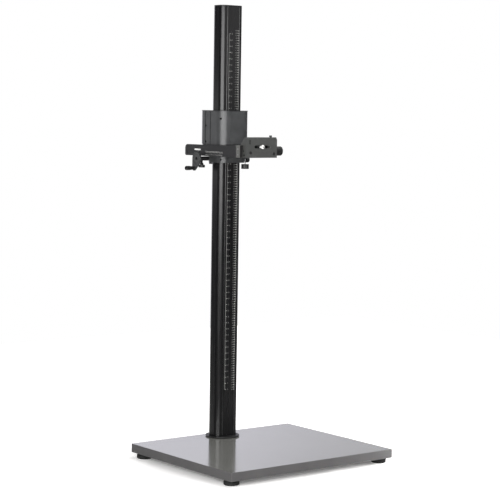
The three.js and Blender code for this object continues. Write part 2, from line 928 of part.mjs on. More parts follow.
function buildGearCase() {
  const cover = block(
    -caseCoverHalfWidth,
    caseCoverHalfWidth,
    caseBack + seatGap,
    caseBack + seatGap + caseCoverThickness,
    caseLow,
    collarHeight - seatGap,
  );
  piece(carriage, "gear_case_cover", cover, darkPaint);
  const bushOuter = crankShaftRadius + runGap / 2 + bushWall;
  const bushBore = crankShaftRadius + runGap / 2;
  const left = -casePocketHalfWidth - seatGap;
  let sleeve = cut(
    rodX(crankShaftY, crankShaftHeight, sleeveRadius, -sleeveEnd, left),
    rodX(crankShaftY, crankShaftHeight, bushOuter + seatGap, -sleeveEnd - overrun, left + overrun),
  );
  const lockHole = rodZ(
    -liftLockX,
    crankShaftY,
    lockStemRadius + boltGap,
    crankShaftHeight - sleeveRadius - overrun,
    crankShaftHeight,
    smallSides,
  );
  sleeve = cut(sleeve, lockHole);
  piece(carriage, "crank_sleeve", sleeve, blackAnodised);
  const bushes = [
    ["left", -sleeveEnd, bushLength - sleeveEnd, bushOuter],
    ["right", casePocketHalfWidth + seatGap, caseHalfWidth, sleeveRadius],
  ];
  for (const [name, from, to, outer] of bushes) {
    const bush = cut(
      rodX(crankShaftY, crankShaftHeight, outer, from, to),
      rodX(crankShaftY, crankShaftHeight, bushBore, from - overrun, to + overrun),
    );
    piece(carriage, "crank_bush_" + name, bush, bronze);
  }
}

function buildSlideStrips() {
  const strip = block(
    housingWidth / 2 - bandNarrowing + seatGap,
    railInner + railGrooveDepth - runGap,
    -stripFront,
    stripBack,
    grooveLow + runGap,
    grooveHigh - runGap,
  );
  piece(carriage, "slide_strip_right", strip, slidePlastic);
  piece(carriage, "slide_strip_left", mirrored(strip), slidePlastic);
}

buildCasting();
buildShells();
buildGuideAdjuster();
buildRollers();
buildGearCase();
buildSlideStrips();

// Crank, handle and height lock

function buildCrank() {
  const site = placed(carriage, 0, crankShaftY, crankShaftHeight);
  const swing = radians(crankAngle);
  const tipY = crankRadius * Math.sin(swing);
  const tipZ = -crankRadius * Math.cos(swing);
  const shaft = rodX(0, 0, crankShaftRadius, -crankFace, caseHalfWidth + shaftEndPast);
  const pinion = across(
    pinionOutline(liftModule, liftTeeth, 0, 0, 180),
    -pinionHalfWidth,
    pinionHalfWidth,
  );
  piece(site, "pinion_shaft", join(shaft, pinion), zincSteel);
  const inner = crankThickness - crankFace;
  const plate = across(
    teardrop(0, 0, crankHubRadius, tipY, tipZ, crankTipRadius),
    -crankFace,
    inner,
    crankBevel,
  );
  const boss = rodX(0, 0, crankBossRadius, inner - crankBevel, inner + crankBossRise);
  const shaftHole = rodX(0, 0, crankShaftRadius + seatGap, -crankFace - overrun, inner + crankBossRise + overrun);
  const pinHole = rodX(tipY, tipZ, handlePinRadius + seatGap, -crankFace - overrun, inner + overrun, smallSides);
  piece(site, "crank_arm", cut(join(plate, boss), shaftHole, pinHole), greyAluminium);
  const handleInner = -crankFace - runGap;
  const handleOuter = handleInner - handleLength;
  const headSeat = handleOuter + handlePinHeadLength;
  const pin = join(
    rodX(tipY, tipZ, handlePinRadius, headSeat - handlePinHeadLength / 2, inner, smallSides),
    rodX(tipY, tipZ, handlePinHeadRadius, handleOuter + runGap, headSeat, smallSides),
  );
  piece(site, "handle_pin", pin, brightSteel);
  const neckEnd = handleNeckLength;
  const profile = [
    [0, 0],
    [handleNeck, 0],
    [handleNeck, neckEnd],
    [handleWaist, neckEnd + handleNeckLength / 2],
    [handleWaist, handleLength / 3],
    [handleRadius, handleLength / 2],
    [handleRadius, handleLength - handleNeckLength],
    [handleRadius - handleNeckLength / 2, handleLength],
    [0, handleLength],
  ];
  const grip = turned(profile).rotate([0, -90, 0]).translate([handleInner, tipY, tipZ]);
  const bore = rodX(
    tipY,
    tipZ,
    handlePinRadius + runGap,
    handleOuter - overrun,
    handleInner + overrun,
    smallSides,
  );
  const counterbore = rodX(
    tipY,
    tipZ,
    handlePinHeadRadius + runGap,
    handleOuter - overrun,
    headSeat + runGap,
    smallSides,
  );
  piece(site, "crank_handle", cut(grip, bore, counterbore), blackPlastic);
}

// A clamp knob below its stem: a fluted knob from its lowest face up, then a screw.
function clampKnob(radius, thickness, stemTop, cone) {
  const grip = upright(fluted(0, 0, radius, knobFlutes, knobFluteDepth), 0, thickness, knobFluteDepth);
  const screwProfile = [
    [0, thickness + seatGap],
    [cone ? lockConeRadius : lockStemRadius, thickness + seatGap],
    [lockStemRadius, cone ? thickness + lockConeHeight : thickness + seatGap + lockStemRadius],
    [lockStemRadius, stemTop],
    [0, stemTop],
  ];
  return [grip, turned(screwProfile, smallSides)];
}

function buildLiftLock() {
  const site = placed(carriage, -liftLockX, crankShaftY, crankShaftHeight - liftLockDrop);
  const stemTop = liftLockDrop - crankShaftRadius - boltGap;
  const [knob, screw] = clampKnob(liftLockRadius, liftLockThickness, stemTop, true);
  piece(site, "lift_lock_knob", knob, blackPlastic);
  piece(site, "lift_lock_screw", screw, brightSteel);
}

buildCrank();
buildLiftLock();

// Arm drive and arm lock, carried by the carriage

function buildArmDrive() {
  const site = placed(carriage, 0, armShaftY, armShaftHeight);
  const shaft = rodX(0, 0, armShaftRadius, armShaftInner, armKnobInner + armKnobThickness / 2, smallSides);
  const pinion = across(
    pinionOutline(armModule, armTeeth, 0, 0, 90),
    armRackInner,
    armRackInner + armRackWidth - seatGap,
  );
  piece(site, "arm_pinion_shaft", join(shaft, pinion), zincSteel);
  const grip = across(
    fluted(0, 0, armKnobRadius, knobFlutes, knobFluteDepth),
    armKnobInner,
    armKnobInner + armKnobThickness,
    knobFluteDepth,
  );
  const bore = rodX(
    0,
    0,
    armShaftRadius + seatGap,
    armKnobInner - overrun,
    armKnobInner + armKnobThickness / 2 + seatGap,
    smallSides,
  );
  piece(site, "arm_drive_knob", cut(grip, bore), blackPlastic);
}

function buildArmLock() {
  const site = placed(carriage, armLockX, armLockY, -armLockDrop);
  const stemTop = armLockDrop + railLow - boltGap;
  const [knob, screw] = clampKnob(armLockRadius, armLockThickness, stemTop, false);
  piece(site, "arm_lock_knob", knob, blackPlastic);
  piece(site, "arm_lock_screw", screw, brightSteel);
}

buildArmDrive();
buildArmLock();

// Arm: two rails, a rear bridge and a front beam

const arm = placed(carriage, 0, 0, 0);
const armRackTop = armRackPitch + dedendumShare * armModule + armRackBody;

function railOutline() {
  return [
    point(-railFront, railLow),
    ...arc(railRear - railRearRadius / 2, railLow + railRearRadius / 2, railRearRadius / 2, 270, 360),
    ...arc(railRear - railRearRadius, railHigh - railRearRadius, railRearRadius, 0, 90),
    point(-railFront, railHigh),
  ];
}

function buildRails() {
  const far = railFront + railRear;
  const groove = block(
    railInner - overrun,
    railInner + railGrooveDepth,
    -far,
    far,
    grooveLow,
    grooveHigh,
  );
  const rail = cut(across(railOutline(), railInner, railOuter), groove);
  const rackRoom = block(
    armRackInner - overrun,
    armRackInner + armRackWidth + seatGap,
    -armRackFront - seatGap,
    armRackBack + seatGap,
    railLow - overrun,
    armRackTop + seatGap,
  );
  piece(arm, "arm_rail_right", cut(rail, rackRoom), blackAnodised);
  piece(arm, "arm_rail_left", mirrored(rail), blackAnodised);
}

function buildArmRack() {
  const outline = rackOutline(armModule, armRackPitch, armRackTop, armShaftY, -armRackFront, armRackBack);
  const swapped = outline.map((place) => point(place.y, place.x)).reverse();
  piece(arm, "arm_rack", across(swapped, armRackInner, armRackInner + armRackWidth), zincSteel);
}

function buildRearBridge() {
  const middle = (railLow + railHigh) / 2;
  const bridge = block(
    seatGap - railInner,
    railInner - seatGap,
    railRear - bridgeInset - bridgeThickness,
    railRear - bridgeInset,
    middle - bridgeHeight / 2,
    middle + bridgeHeight / 2,
  );
  piece(arm, "arm_rear_bridge", bridge, darkPaint);
}

function buildFrontBeam() {
  const back = -railFront - seatGap;
  const outline = [
    point(-beamOuter, railLow),
    point(beamOuter, railLow),
    point(beamOuter, beamTop),
    point(beamPostInner, beamTop),
    point(beamPostInner, beamBarTop),
    point(-beamPostInner, beamBarTop),
    point(-beamPostInner, beamTop),
    point(-beamOuter, beamTop),
  ];
  let beam = foreAndAft(outline, -beamFront, back);
  for (const side of [-1, 1]) {
    const x = side * rodLugX;
    const lug = block(
      x - rodLugHalfWidth,
      x + rodLugHalfWidth,
      -beamFront - rodLugReach,
      back,
      railLow,
      rodLugTop,
    );
    beam = join(beam, lug);
  }
  const rodBore = rodX(
    -guideRodY,
    guideRodHeight,
    guideRodRadius + runGap / 2,
    -beamOuter,
    beamOuter,
    smallSides,
  );
  const knobCorner = block(
    shiftKnobInner - shiftTravelLength - shiftKnobRoom,
    beamOuter + overrun,
    -beamFront - overrun,
    shiftKnobRadius + shiftKnobRoom - shiftScrewY,
    railLow - overrun,
    beamTop + overrun,
  );
  piece(arm, "arm_front_beam", cut(beam, rodBore, knobCorner), greyAluminium);
  const nut = cut(
    block(-nutHalfWidth, nutHalfWidth, -beamFront - nutReach, -beamFront - seatGap, nutLow, nutHigh),
    rodX(
      -shiftScrewY,
      shiftScrewHeight,
      shiftScrewRadius + runGap / 2,
      -nutHalfWidth - overrun,
      nutHalfWidth + overrun,
      smallSides,
    ),
  );
  piece(arm, "shift_nut", nut, bronze);
}

buildRails();
buildArmRack();
buildRearBridge();
buildFrontBeam();

// Camera plate and what it carries

const head = placed(arm, 0, 0, 0);

function buildCameraPlate() {
  const inner = plateThickness - plateFront;
  const profile = [
    point(-plateFront, plateLow),
    point(-cheekBack, plateLow),
    point(-cheekBack, hoodLow),
    point(-hoodBack, hoodLow),
    point(plateTopDepth - plateFront, plateHigh),
    point(plateBevelBack - plateFront, plateHigh),
    point(-plateFront, plateHigh - plateBevelDrop),
  ];
  const hollow = block(
    cheekThickness - plateHalfWidth,
    plateHalfWidth - cheekThickness,
    inner,
    -hoodBack + overrun,
    plateLow - overrun,
    plateHigh + overrun,
  );
  const slotOutline = roundedRectangle(
    -slotLeft,
    slotHeight - slotHalfHeight,
    slotRight,
    slotHeight + slotHalfHeight,
    slotHalfHeight,
  );
  const slot = foreAndAft(slotOutline, -plateFront - overrun, inner + overrun);
  const rodSeat = rodX(
    -guideRodY,
    guideRodHeight,
    guideRodRadius + seatGap,
    -plateHalfWidth - overrun,
    plateHalfWidth + overrun,
    smallSides,
  );
  const screwSeat = rodX(
    -shiftScrewY,
    shiftScrewHeight,
    shiftScrewRadius + runGap,
    -plateHalfWidth - overrun,
    plateHalfWidth + overrun,
    smallSides,
  );
  const knobSeat = rodZ(
    topKnobX,
    plateBevelBack + (plateThickness - plateBevelBack) / 2 - plateFront,
    topKnobStemRadius + seatGap,
    plateHigh - topKnobStemLength - seatGap,
    plateHigh + overrun,
    smallSides,
  );
  const plate = cut(
    across(profile, -plateHalfWidth, plateHalfWidth),
    hollow,
    slot,
    rodSeat,
    screwSeat,
    knobSeat,
  );
  piece(head, "camera_plate", plate, greyAluminium);
  const rod = rodX(
    -guideRodY,
    guideRodHeight,
    guideRodRadius,
    -plateHalfWidth,
    plateHalfWidth,
    smallSides,
  );
  piece(head, "guide_rod", rod, zincSteel);
}

function buildShiftScrew() {
  const site = placed(head, 0, -shiftScrewY, shiftScrewHeight);
  const knobEnd = shiftKnobInner + shiftKnobLength;
  const screw = join(
    rodX(0, 0, shiftScrewRadius, -plateHalfWidth, knobEnd - shiftKnobLength / 2, smallSides),
    rodX(0, 0, shiftCollarRadius, plateHalfWidth + seatGap, shiftKnobInner - seatGap),
  );
  piece(site, "shift_screw", screw, zincSteel);
  const grip = across(
    fluted(0, 0, shiftKnobRadius, shiftKnobTeeth, shiftKnobToothDepth, shiftKnobTeeth * 2),
    shiftKnobInner,
    knobEnd,
    shiftKnobBevel,
  );
  const bore = rodX(
    0,
    0,
    shiftScrewRadius + seatGap,
    shiftKnobInner - overrun,
    knobEnd - shiftKnobLength / 2 + seatGap,
    smallSides,
  );
  piece(site, "shift_knob", cut(grip, bore), blackPlastic);
}

function buildCameraScrew() {
  const site = placed(head, cameraScrewX, 0, slotHeight);
  const plateInner = plateThickness - plateFront;
  const sliderFront = plateInner + seatGap;
  const sliderBack = sliderFront + sliderThickness;
  const showing = sliderRecess - plateFront;
  const backPlate = block(
    -sliderHalfWidth,
    sliderHalfWidth,
    sliderFront,
    sliderBack,
    -sliderHalfHeight,
    sliderHalfHeight,
  );
  const collar = rodY(0, 0, sliderCollarRadius, showing, sliderBack);
  const pin = rodY(-sliderPinOffset, 0, sliderPinRadius, showing, sliderBack, smallSides);
  const bore = rodY(
    0,
    0,
    cameraScrewRadius + runGap / 2,
    showing - overrun,
    sliderBack + overrun,
    smallSides,
  );
  piece(site, "screw_slider", cut(join(backPlate, collar, pin), bore), brightSteel);
  const knobFront = sliderBack + runGap;
  const knobBack = knobFront + cameraKnobThickness;
  const screw = rodY(0, 0, cameraScrewRadius, -plateFront - cameraScrewProud, knobBack, smallSides);
  piece(site, "camera_screw", screw, brightSteel);
  const knob = cut(
    foreAndAft(
      fluted(0, 0, cameraKnobRadius, knobFlutes, knobFluteDepth),
      knobFront,
      knobBack,
      knobFluteDepth,
    ),
    rodY(0, 0, cameraScrewRadius + seatGap, knobFront - overrun, knobBack + overrun, smallSides),
  );
  piece(site, "camera_screw_knob", knob, blackPlastic);
}

function buildTopKnob() {
  const y = plateBevelBack + (plateThickness - plateBevelBack) / 2 - plateFront;
  const site = placed(head, topKnobX, y, plateHigh);
  const profile = [
    [0, -topKnobStemLength],
    [topKnobStemRadius, -topKnobStemLength],
    [topKnobStemRadius, topKnobNeck],
    [topKnobRadius, topKnobNeck],
    [topKnobRadius, topKnobHeight - topKnobStemRadius],
    [topKnobRadius - topKnobStemRadius, topKnobHeight],
    [0, topKnobHeight],
  ];
  piece(site, "top_knob", turned(profile), blackPlastic);
}

buildCameraPlate();
buildShiftScrew();
buildCameraScrew();
buildTopKnob();

export default stand;
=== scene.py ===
# %% [markdown]
# A copy stand, dressed for its portrait
#
# The stand is a tall one: a laminated board on four rubber feet, a black extruded column, and a
# crank-driven carriage that holds an arm with a camera plate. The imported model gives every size
# and place in metres, with Z up and the copy lying at height zero. This lesson loads it, sets up
# the camera and the light, makes one material for each real finish, and then remodels the pieces
# that show, with rounder corners and the small details that a real one has.

# %% Load the stand
import json
import math
from contextlib import contextmanager

import bpy
from mathutils import Matrix, Vector


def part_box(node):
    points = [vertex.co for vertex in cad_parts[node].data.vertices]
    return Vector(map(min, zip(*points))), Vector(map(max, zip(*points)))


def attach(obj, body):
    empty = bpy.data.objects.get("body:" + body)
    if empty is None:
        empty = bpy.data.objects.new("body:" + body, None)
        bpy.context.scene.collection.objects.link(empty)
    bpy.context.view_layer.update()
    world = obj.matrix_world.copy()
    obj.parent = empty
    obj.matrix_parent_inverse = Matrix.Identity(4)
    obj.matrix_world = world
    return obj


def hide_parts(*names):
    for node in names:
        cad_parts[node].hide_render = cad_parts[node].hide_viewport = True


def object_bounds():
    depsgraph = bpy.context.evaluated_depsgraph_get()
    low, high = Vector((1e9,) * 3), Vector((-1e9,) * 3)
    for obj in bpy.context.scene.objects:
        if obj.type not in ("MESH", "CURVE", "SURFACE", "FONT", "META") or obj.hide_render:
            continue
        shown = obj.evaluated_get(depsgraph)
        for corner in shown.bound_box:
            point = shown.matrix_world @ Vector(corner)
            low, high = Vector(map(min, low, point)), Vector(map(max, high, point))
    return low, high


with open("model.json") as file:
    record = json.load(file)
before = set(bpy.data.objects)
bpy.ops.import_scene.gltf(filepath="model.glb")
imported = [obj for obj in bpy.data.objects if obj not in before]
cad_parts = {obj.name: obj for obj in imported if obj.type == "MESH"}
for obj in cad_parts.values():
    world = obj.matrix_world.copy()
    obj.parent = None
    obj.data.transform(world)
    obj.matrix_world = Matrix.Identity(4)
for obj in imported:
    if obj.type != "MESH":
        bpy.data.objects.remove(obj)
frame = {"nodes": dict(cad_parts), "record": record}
stand_low, stand_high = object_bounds()
nodes = frame["nodes"]
print("nodes", len(nodes), "size", [round(v, 4) for v in stand_high - stand_low])

# %% [markdown]
# Units. The pieces are described in millimetres, as on a drawing, and one factor turns them into
# metres. The column's axis and the carriage's lowest face are the two places that most other
# sizes are counted from, so they are read from the model once.

# %% Places that others count from
MM = 0.001
CLOSE_GAP = 0.2 * MM
column_low, column_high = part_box("column")
AXIS_Y = (column_low.y + column_high.y) / 2 / MM
RAIL_HEIGHT = 26.5
CARRIAGE_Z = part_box("arm_rail_left")[0].z / MM - RAIL_HEIGHT


def on_column(x, y, z):
    """A place counted from the column's axis at the height of the board's top."""
    return Vector((x, y + AXIS_Y, z)) * MM


def on_carriage(x, y, z):
    """A place counted from the column's axis at the carriage's lowest face."""
    return Vector((x, y + AXIS_Y, z + CARRIAGE_Z)) * MM


print("column axis at y =", round(AXIS_Y, 2), "mm")

# %% [markdown]
# The camera. It stands almost seven metres away, about level with the carriage and 38 degrees to
# the left, so the board shows two edges and the column shows its front and its left side. A long
# lens keeps the column's sides nearly parallel. The camera leans by a degree, as a hand-levelled
# tripod does, and that is built from three perpendicular directions.

# %% Camera
PHOTO_PIXELS = 500
focal_pixels = 1680.5
view_azimuth, view_elevation, view_roll = (math.radians(a) for a in (-37.661, 4.691, 0.846))
camera_place = Vector((-4.1804, -5.3200, 1.3575))

backwards = Vector(
    (
        math.sin(view_azimuth) * math.cos(view_elevation),
        -math.cos(view_azimuth) * math.cos(view_elevation),
        math.sin(view_elevation),
    )
)
level = Vector((0, 0, 1)).cross(backwards).normalized()
upwards = backwards.cross(level)
rightwards = level * math.cos(view_roll) + upwards * math.sin(view_roll)
upwards = upwards * math.cos(view_roll) - level * math.sin(view_roll)

camera_data = bpy.data.cameras.new("portrait_lens")
camera_data.sensor_width = 36.0
camera_data.lens = focal_pixels * camera_data.sensor_width / PHOTO_PIXELS
camera_data.clip_end = 60
camera = bpy.data.objects.new("portrait_camera", camera_data)
turn = Matrix((rightwards, upwards, backwards)).transposed().to_4x4()
camera.matrix_world = Matrix.Translation(camera_place) @ turn
bpy.context.scene.collection.objects.link(camera)
bpy.context.scene.camera = camera
print("lens", round(camera_data.lens, 1), "mm")

# %% [markdown]
# Small helpers for modelling. Operators act on whatever is selected, so each helper starts by
# clearing the selection, adds a primitive at its size and place, and then picks edges or faces in
# code, by where they are or which way they face. The place is applied to the mesh straight away,
# so that every finished piece has its origin at the stand's origin.


# %% Selecting and editing
def clear_selection():
    bpy.ops.object.select_all(action="DESELECT")


def make_active(piece):
    clear_selection()
    piece.select_set(True)
    bpy.context.view_layer.objects.active = piece


@contextmanager
def editing(piece):
    """Edit mode on one piece, for the operators in the block."""
    make_active(piece)
    bpy.ops.object.mode_set(mode="EDIT")
    yield
    bpy.ops.object.mode_set(mode="OBJECT")


def pick(piece, kind, wanted):
    """Selects only the edges or faces that are wanted."""
    mesh = piece.data
    for item in (*mesh.vertices, *mesh.edges, *mesh.polygons):
        item.select = False
    if kind == "edges":
        for edge in mesh.edges:
            edge.select = wanted(*(mesh.vertices[i].co for i in edge.vertices))
    else:
        for face in mesh.polygons:
            face.select = wanted(face.center, face.normal)
    bpy.context.tool_settings.mesh_select_mode = (False, kind == "edges", kind == "faces")


def settle(piece, name):
    """Names the newest primitive and moves its place, turn and size into its mesh."""
    piece.name = piece.data.name = name
    bpy.ops.object.transform_apply(location=True, rotation=True, scale=True)
    return piece


# %% [markdown]
# Three starting shapes cover most of a machined product: a block with rounded corners along one
# direction, a straight rod, and a turned piece. The turned piece begins as a plane merged to one
# point, which is extruded from corner to corner of the profile and then spun round its axis.

# %% Blocks, rods and turned pieces
DIRECTIONS = {"X": Vector((1, 0, 0)), "Y": Vector((0, 1, 0)), "Z": Vector((0, 0, 1))}


def block(name, low, high, corner=0.0, along="Z", steps=12):
    clear_selection()
    bpy.ops.mesh.primitive_cube_add(size=1, location=(low + high) / 2)
    piece = bpy.context.object
    piece.scale = high - low
    settle(piece, name)
    if corner:
        direction = DIRECTIONS[along]
        pick(piece, "edges", lambda a, b: abs((b - a).normalized().dot(direction)) > 0.99)
        with editing(piece):
            bpy.ops.mesh.bevel(offset=corner * MM, segments=steps, affect="EDGES")
    return piece


def rod(name, start, end, radius, sides=48):
    clear_selection()
    span = end - start
    bpy.ops.mesh.primitive_cylinder_add(
        vertices=sides, radius=radius * MM, depth=span.length, location=(start + end) / 2
    )
    piece = bpy.context.object
    piece.rotation_euler = span.to_track_quat("Z", "Y").to_euler()
    return settle(piece, name)


def turned(name, centre, along, profile, steps=64):
    """profile is a list of (radius, distance along the axis) in millimetres."""
    axis = DIRECTIONS[along]
    side = DIRECTIONS["X" if along != "X" else "Y"]
    points = [centre + side * r * MM + axis * d * MM for r, d in profile]
    clear_selection()
    bpy.ops.mesh.primitive_plane_add(size=0.001, location=points[0])
    piece = settle(bpy.context.object, name)
    bpy.context.tool_settings.mesh_select_mode = (True, False, False)
    with editing(piece):
        bpy.ops.mesh.select_all(action="SELECT")
        bpy.ops.mesh.merge(type="CENTER")
        for here, there in zip(points, points[1:]):
            bpy.ops.mesh.extrude_region_move(TRANSFORM_OT_translate={"value": there - here})
        bpy.ops.mesh.select_all(action="SELECT")
        bpy.ops.mesh.spin(steps=steps, angle=2 * math.pi, center=centre, axis=axis)
        bpy.ops.mesh.select_all(action="SELECT")
        bpy.ops.mesh.remove_doubles(threshold=1e-6)
        bpy.ops.mesh.normals_make_consistent(inside=False)
    return piece


# %% [markdown]
# Cutting and finishing. Holes, slots and grooves are cut with a Boolean modifier and a cutter that
# is thrown away. No real edge is sharp, and an edge only catches the light when it is rounded, so
# every piece ends with a narrow Bevel, weighted normals that keep its flat faces flat, and smooth
# shading up to a limit angle.


# %% Cutting, joining and finishing
def apply_modifier(piece, kind, **settings):
    modifier = piece.modifiers.new(kind.lower(), kind)
    for key, value in settings.items():
        setattr(modifier, key, value)
    make_active(piece)
    bpy.ops.object.modifier_apply(modifier=modifier.name)


def cut_away(piece, *cutters):
    for cutter in cutters:
        apply_modifier(piece, "BOOLEAN", operation="DIFFERENCE", solver="EXACT", object=cutter)
        bpy.data.objects.remove(cutter)
    return piece


def join(piece, *others):
    make_active(piece)
    for other in others:
        other.select_set(True)
    bpy.ops.object.join()
    return piece


def soften(piece, radius, steps=2, limit=32):
    """Rounds the edges by a radius in millimetres and shades the piece smoothly."""
    apply_modifier(
        piece,
        "BEVEL",
        width=radius * MM,
        segments=steps,
        limit_method="ANGLE",
        angle_limit=math.radians(limit),
    )
    return smooth(piece, limit)


def smooth(piece, limit=32):
    make_active(piece)
    bpy.ops.object.shade_smooth_by_angle(angle=math.radians(limit))
    apply_modifier(piece, "WEIGHTED_NORMAL", keep_sharp=True)
    return piece


def refined(node, name, radius=0.0, steps=2, limit=32):
    """A copy of a CAD node with its triangles welded and its edges rounded."""
    piece = bpy.data.objects.new(name, nodes[node].data.copy())
    piece.data.materials.clear()
    bpy.context.scene.collection.objects.link(piece)
    with editing(piece):
        bpy.ops.mesh.select_all(action="SELECT")
        bpy.ops.mesh.remove_doubles(threshold=2e-6)
        bpy.ops.mesh.dissolve_limited(angle_limit=math.radians(0.5))
    return soften(piece, radius, steps, limit) if radius else smooth(piece, limit)


def hand_over(piece, body, material, slot, *stands_for):
    """Gives a finished piece its finish and its body, and hides the nodes that it stands for; the slot
    is not used.
    """
    if not piece.data.materials:
        piece.data.materials.append(material)
    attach(piece, body)
    if stands_for:
        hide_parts(*stands_for)
    return piece


# %% [markdown]
# Materials are node trees. Colours are written as the hex values that a picture editor shows and
# turned into linear light by one function. One more function adds a node, sets its fields and
# sockets and makes its links. Every finish here has the same chain, from noise patterns to colour,
# roughness and relief, so one function builds it and each family only gives its own figures.
# Patterns read Object coordinates, which are metres on every piece here.


# %% Colours and nodes
def colour(hex_value):
    channels = [int(hex_value[i : i + 2], 16) / 255 for i in (1, 3, 5)]
    linear = [c / 12.92 if c <= 0.04045 else ((c + 0.055) / 1.055) ** 2.4 for c in channels]
    return (*linear, 1.0)


def add_node(tree, kind, sockets=None, **settings):
    node = tree.nodes.new(kind)
    for key, value in settings.items():
        setattr(node, key, value)
    for key, value in (sockets or {}).items():
        if isinstance(value, bpy.types.NodeSocket):
            tree.links.new(value, node.inputs[key])
        else:
            node.inputs[key].default_value = value
    return node


EVENLY = (1, 1, 1)
NOISE_MIDDLE = {"From Min": 0.3, "From Max": 0.7}


def make_finish(name, tints, roughness, feel, tones, relief, shader):
    """A material from patterns that are each a scale, a stretch and a detail.

    The feel varies the roughness and the relief. The tones vary the colour between the two
    tints, and a second tone is averaged with the first.
    """
    material = bpy.data.materials.new(name)
    material.use_nodes = True
    tree = material.node_tree
    tree.nodes.clear()
    place = add_node(tree, "ShaderNodeTexCoord").outputs["Object"]
    patterns = {}
    for pattern in dict.fromkeys((feel, *tones)):
        scale, stretch, detail = pattern
        mapped = add_node(tree, "ShaderNodeMapping", {"Vector": place, "Scale": stretch})
        sockets = {"Vector": mapped.outputs["Vector"], "Scale": scale, "Detail": detail}
        patterns[pattern] = add_node(tree, "ShaderNodeTexNoise", sockets).outputs["Fac"]
    tone = patterns[tones[0]]
    for other in tones[1:]:
        both = add_node(tree, "ShaderNodeMath", {0: tone, 1: patterns[other]}, operation="ADD")
        sockets = {0: both.outputs[0], 1: 0.5}
        tone = add_node(tree, "ShaderNodeMath", sockets, operation="MULTIPLY").outputs[0]
    sockets = {"Value": tone, **NOISE_MIDDLE, "To Min": 0.0, "To Max": 1.0}
    share = add_node(tree, "ShaderNodeMapRange", sockets).outputs["Result"]
    sockets = {0: share, 6: colour(tints[0]), 7: colour(tints[1])}
    mixed = add_node(tree, "ShaderNodeMix", sockets, data_type="RGBA")
    worn = {"Value": patterns[feel], **NOISE_MIDDLE, "To Min": roughness[0], "To Max": roughness[1]}
    rough = add_node(tree, "ShaderNodeMapRange", worn)
    raised = {"Height": patterns[feel], "Distance": relief[0], "Strength": relief[1]}
    sockets = {
        "Base Color": mixed.outputs[2],
        "Roughness": rough.outputs["Result"],
        "Normal": add_node(tree, "ShaderNodeBump", raised).outputs["Normal"],
        **shader,
    }
    skin = add_node(tree, "ShaderNodeBsdfPrincipled", sockets)
    add_node(tree, "ShaderNodeOutputMaterial", {"Surface": skin.outputs["BSDF"]})
    return material


# %% [markdown]
# High-pressure laminate on the board. It is printed paper under clear melamine resin, pressed
# against a satin steel sheet: mid grey, with faint streaks along the board and a soft sheen in
# which the column is mirrored as a blur. The resin is a clear coat over the paper, and the edge
# band, which is plain plastic, has none.


# %% Laminate and edging
def make_laminate(name, dark, light, roughness, resin):
    streaks, clouds = (300, (0.04, 1, 1), 4), (9, EVENLY, 2)
    limits = (roughness - 0.03, roughness + 0.05)
    coat = {"IOR": 1.55, "Coat Weight": resin, "Coat Roughness": 0.1}
    relief = (0.00006, 0.35)
    return make_finish(name, (dark, light), limits, streaks, (streaks, clouds), relief, coat)


board_laminate = make_laminate("grey_melamine_laminate", "#747470", "#82827e", 0.17, 0.7)
board_edging = make_laminate("grey_abs_edging", "#504f50", "#5a5959", 0.34, 0.0)
print("made", board_laminate.name, board_edging.name)

# %% [markdown]
# Black anodised aluminium on the column, the flange and the rails. The metal is extruded, so fine
# die lines run along it, then etched, dyed and sealed. The sealed oxide is a thin glassy layer over
# dark metal: it looks nearly black from the front and turns grey and satin where a light slides
# along it. The die lines are drawn about 2 mm apart, coarser than real ones, so that they show.


# %% Black anodised aluminium
def make_anodised(name, dark, light, roughness, stretch, metallic):
    lines, grain = (420, stretch, 3), (900, EVENLY, 2)
    limits = (roughness - 0.05, roughness + 0.07)
    oxide = {"Metallic": metallic, "Specular IOR Level": 0.5}
    return make_finish(name, (dark, light), limits, lines, (grain,), (0.00005, 0.3), oxide)


UPRIGHT, FORE_AND_AFT, SIDEWAYS = (1, 1, 0.01), (1, 0.02, 1), (0.05, 1, 1)
column_anodised = make_anodised("black_anodised_extrusion", "#0b0b0c", "#111112", 0.27, UPRIGHT, 0.1)
rail_anodised = make_anodised("black_anodised_bar", "#252526", "#2e2e2f", 0.38, FORE_AND_AFT, 0.3)
plate_anodised = make_anodised("grey_anodised_plate", "#4a4b4a", "#565755", 0.42, SIDEWAYS, 0.4)
beam_anodised = make_anodised("pale_anodised_beam", "#696966", "#747471", 0.42, SIDEWAYS, 0.4)

# %% [markdown]
# Fine-textured powder coat on the castings and the housing. The powder melts into a skin with a
# grain of about half a millimetre, which spreads every highlight into a broad soft band. The grain
# is a small bump, and the colour is nearly even.


# %% Powder coat
def make_powder_coat(name, dark, light, roughness, bump=0.00012):
    grain, drift = (1400, EVENLY, 2), (30, EVENLY, 2)
    limits = (roughness - 0.04, roughness + 0.06)
    skin = {"IOR": 1.5, "Specular IOR Level": 0.5}
    return make_finish(name, (dark, light), limits, grain, (drift,), (bump, 0.4), skin)


housing_paint = make_powder_coat("grey_powder_coat", "#3a3b3c", "#424344", 0.33)
casting_paint = make_powder_coat("grey_cast_powder_coat", "#303132", "#383939", 0.3, 0.0002)
dark_paint = make_powder_coat("black_powder_coat", "#19191a", "#202021", 0.4)

# %% [markdown]
# Plastics and rubber. The knobs and the crank handle are moulded in black glass-filled nylon, whose
# spark-eroded mould leaves a fine matte grain. The feet are black rubber, softer and duller, a
# little grey from dust. The bearing strips and rollers are white acetal, smooth and waxy. A matt
# near-black with a low index, which mirrors almost nothing, is painted shade in holes, seats and gaps.


# %% Plastics and rubber
def make_moulded(name, dark, light, roughness, grain_size, bump, ior=1.5):
    grain = (grain_size, EVENLY, 3)
    limits = (roughness - 0.05, roughness + 0.05)
    return make_finish(name, (dark, light), limits, grain, (grain,), (bump, 0.4), {"IOR": ior})


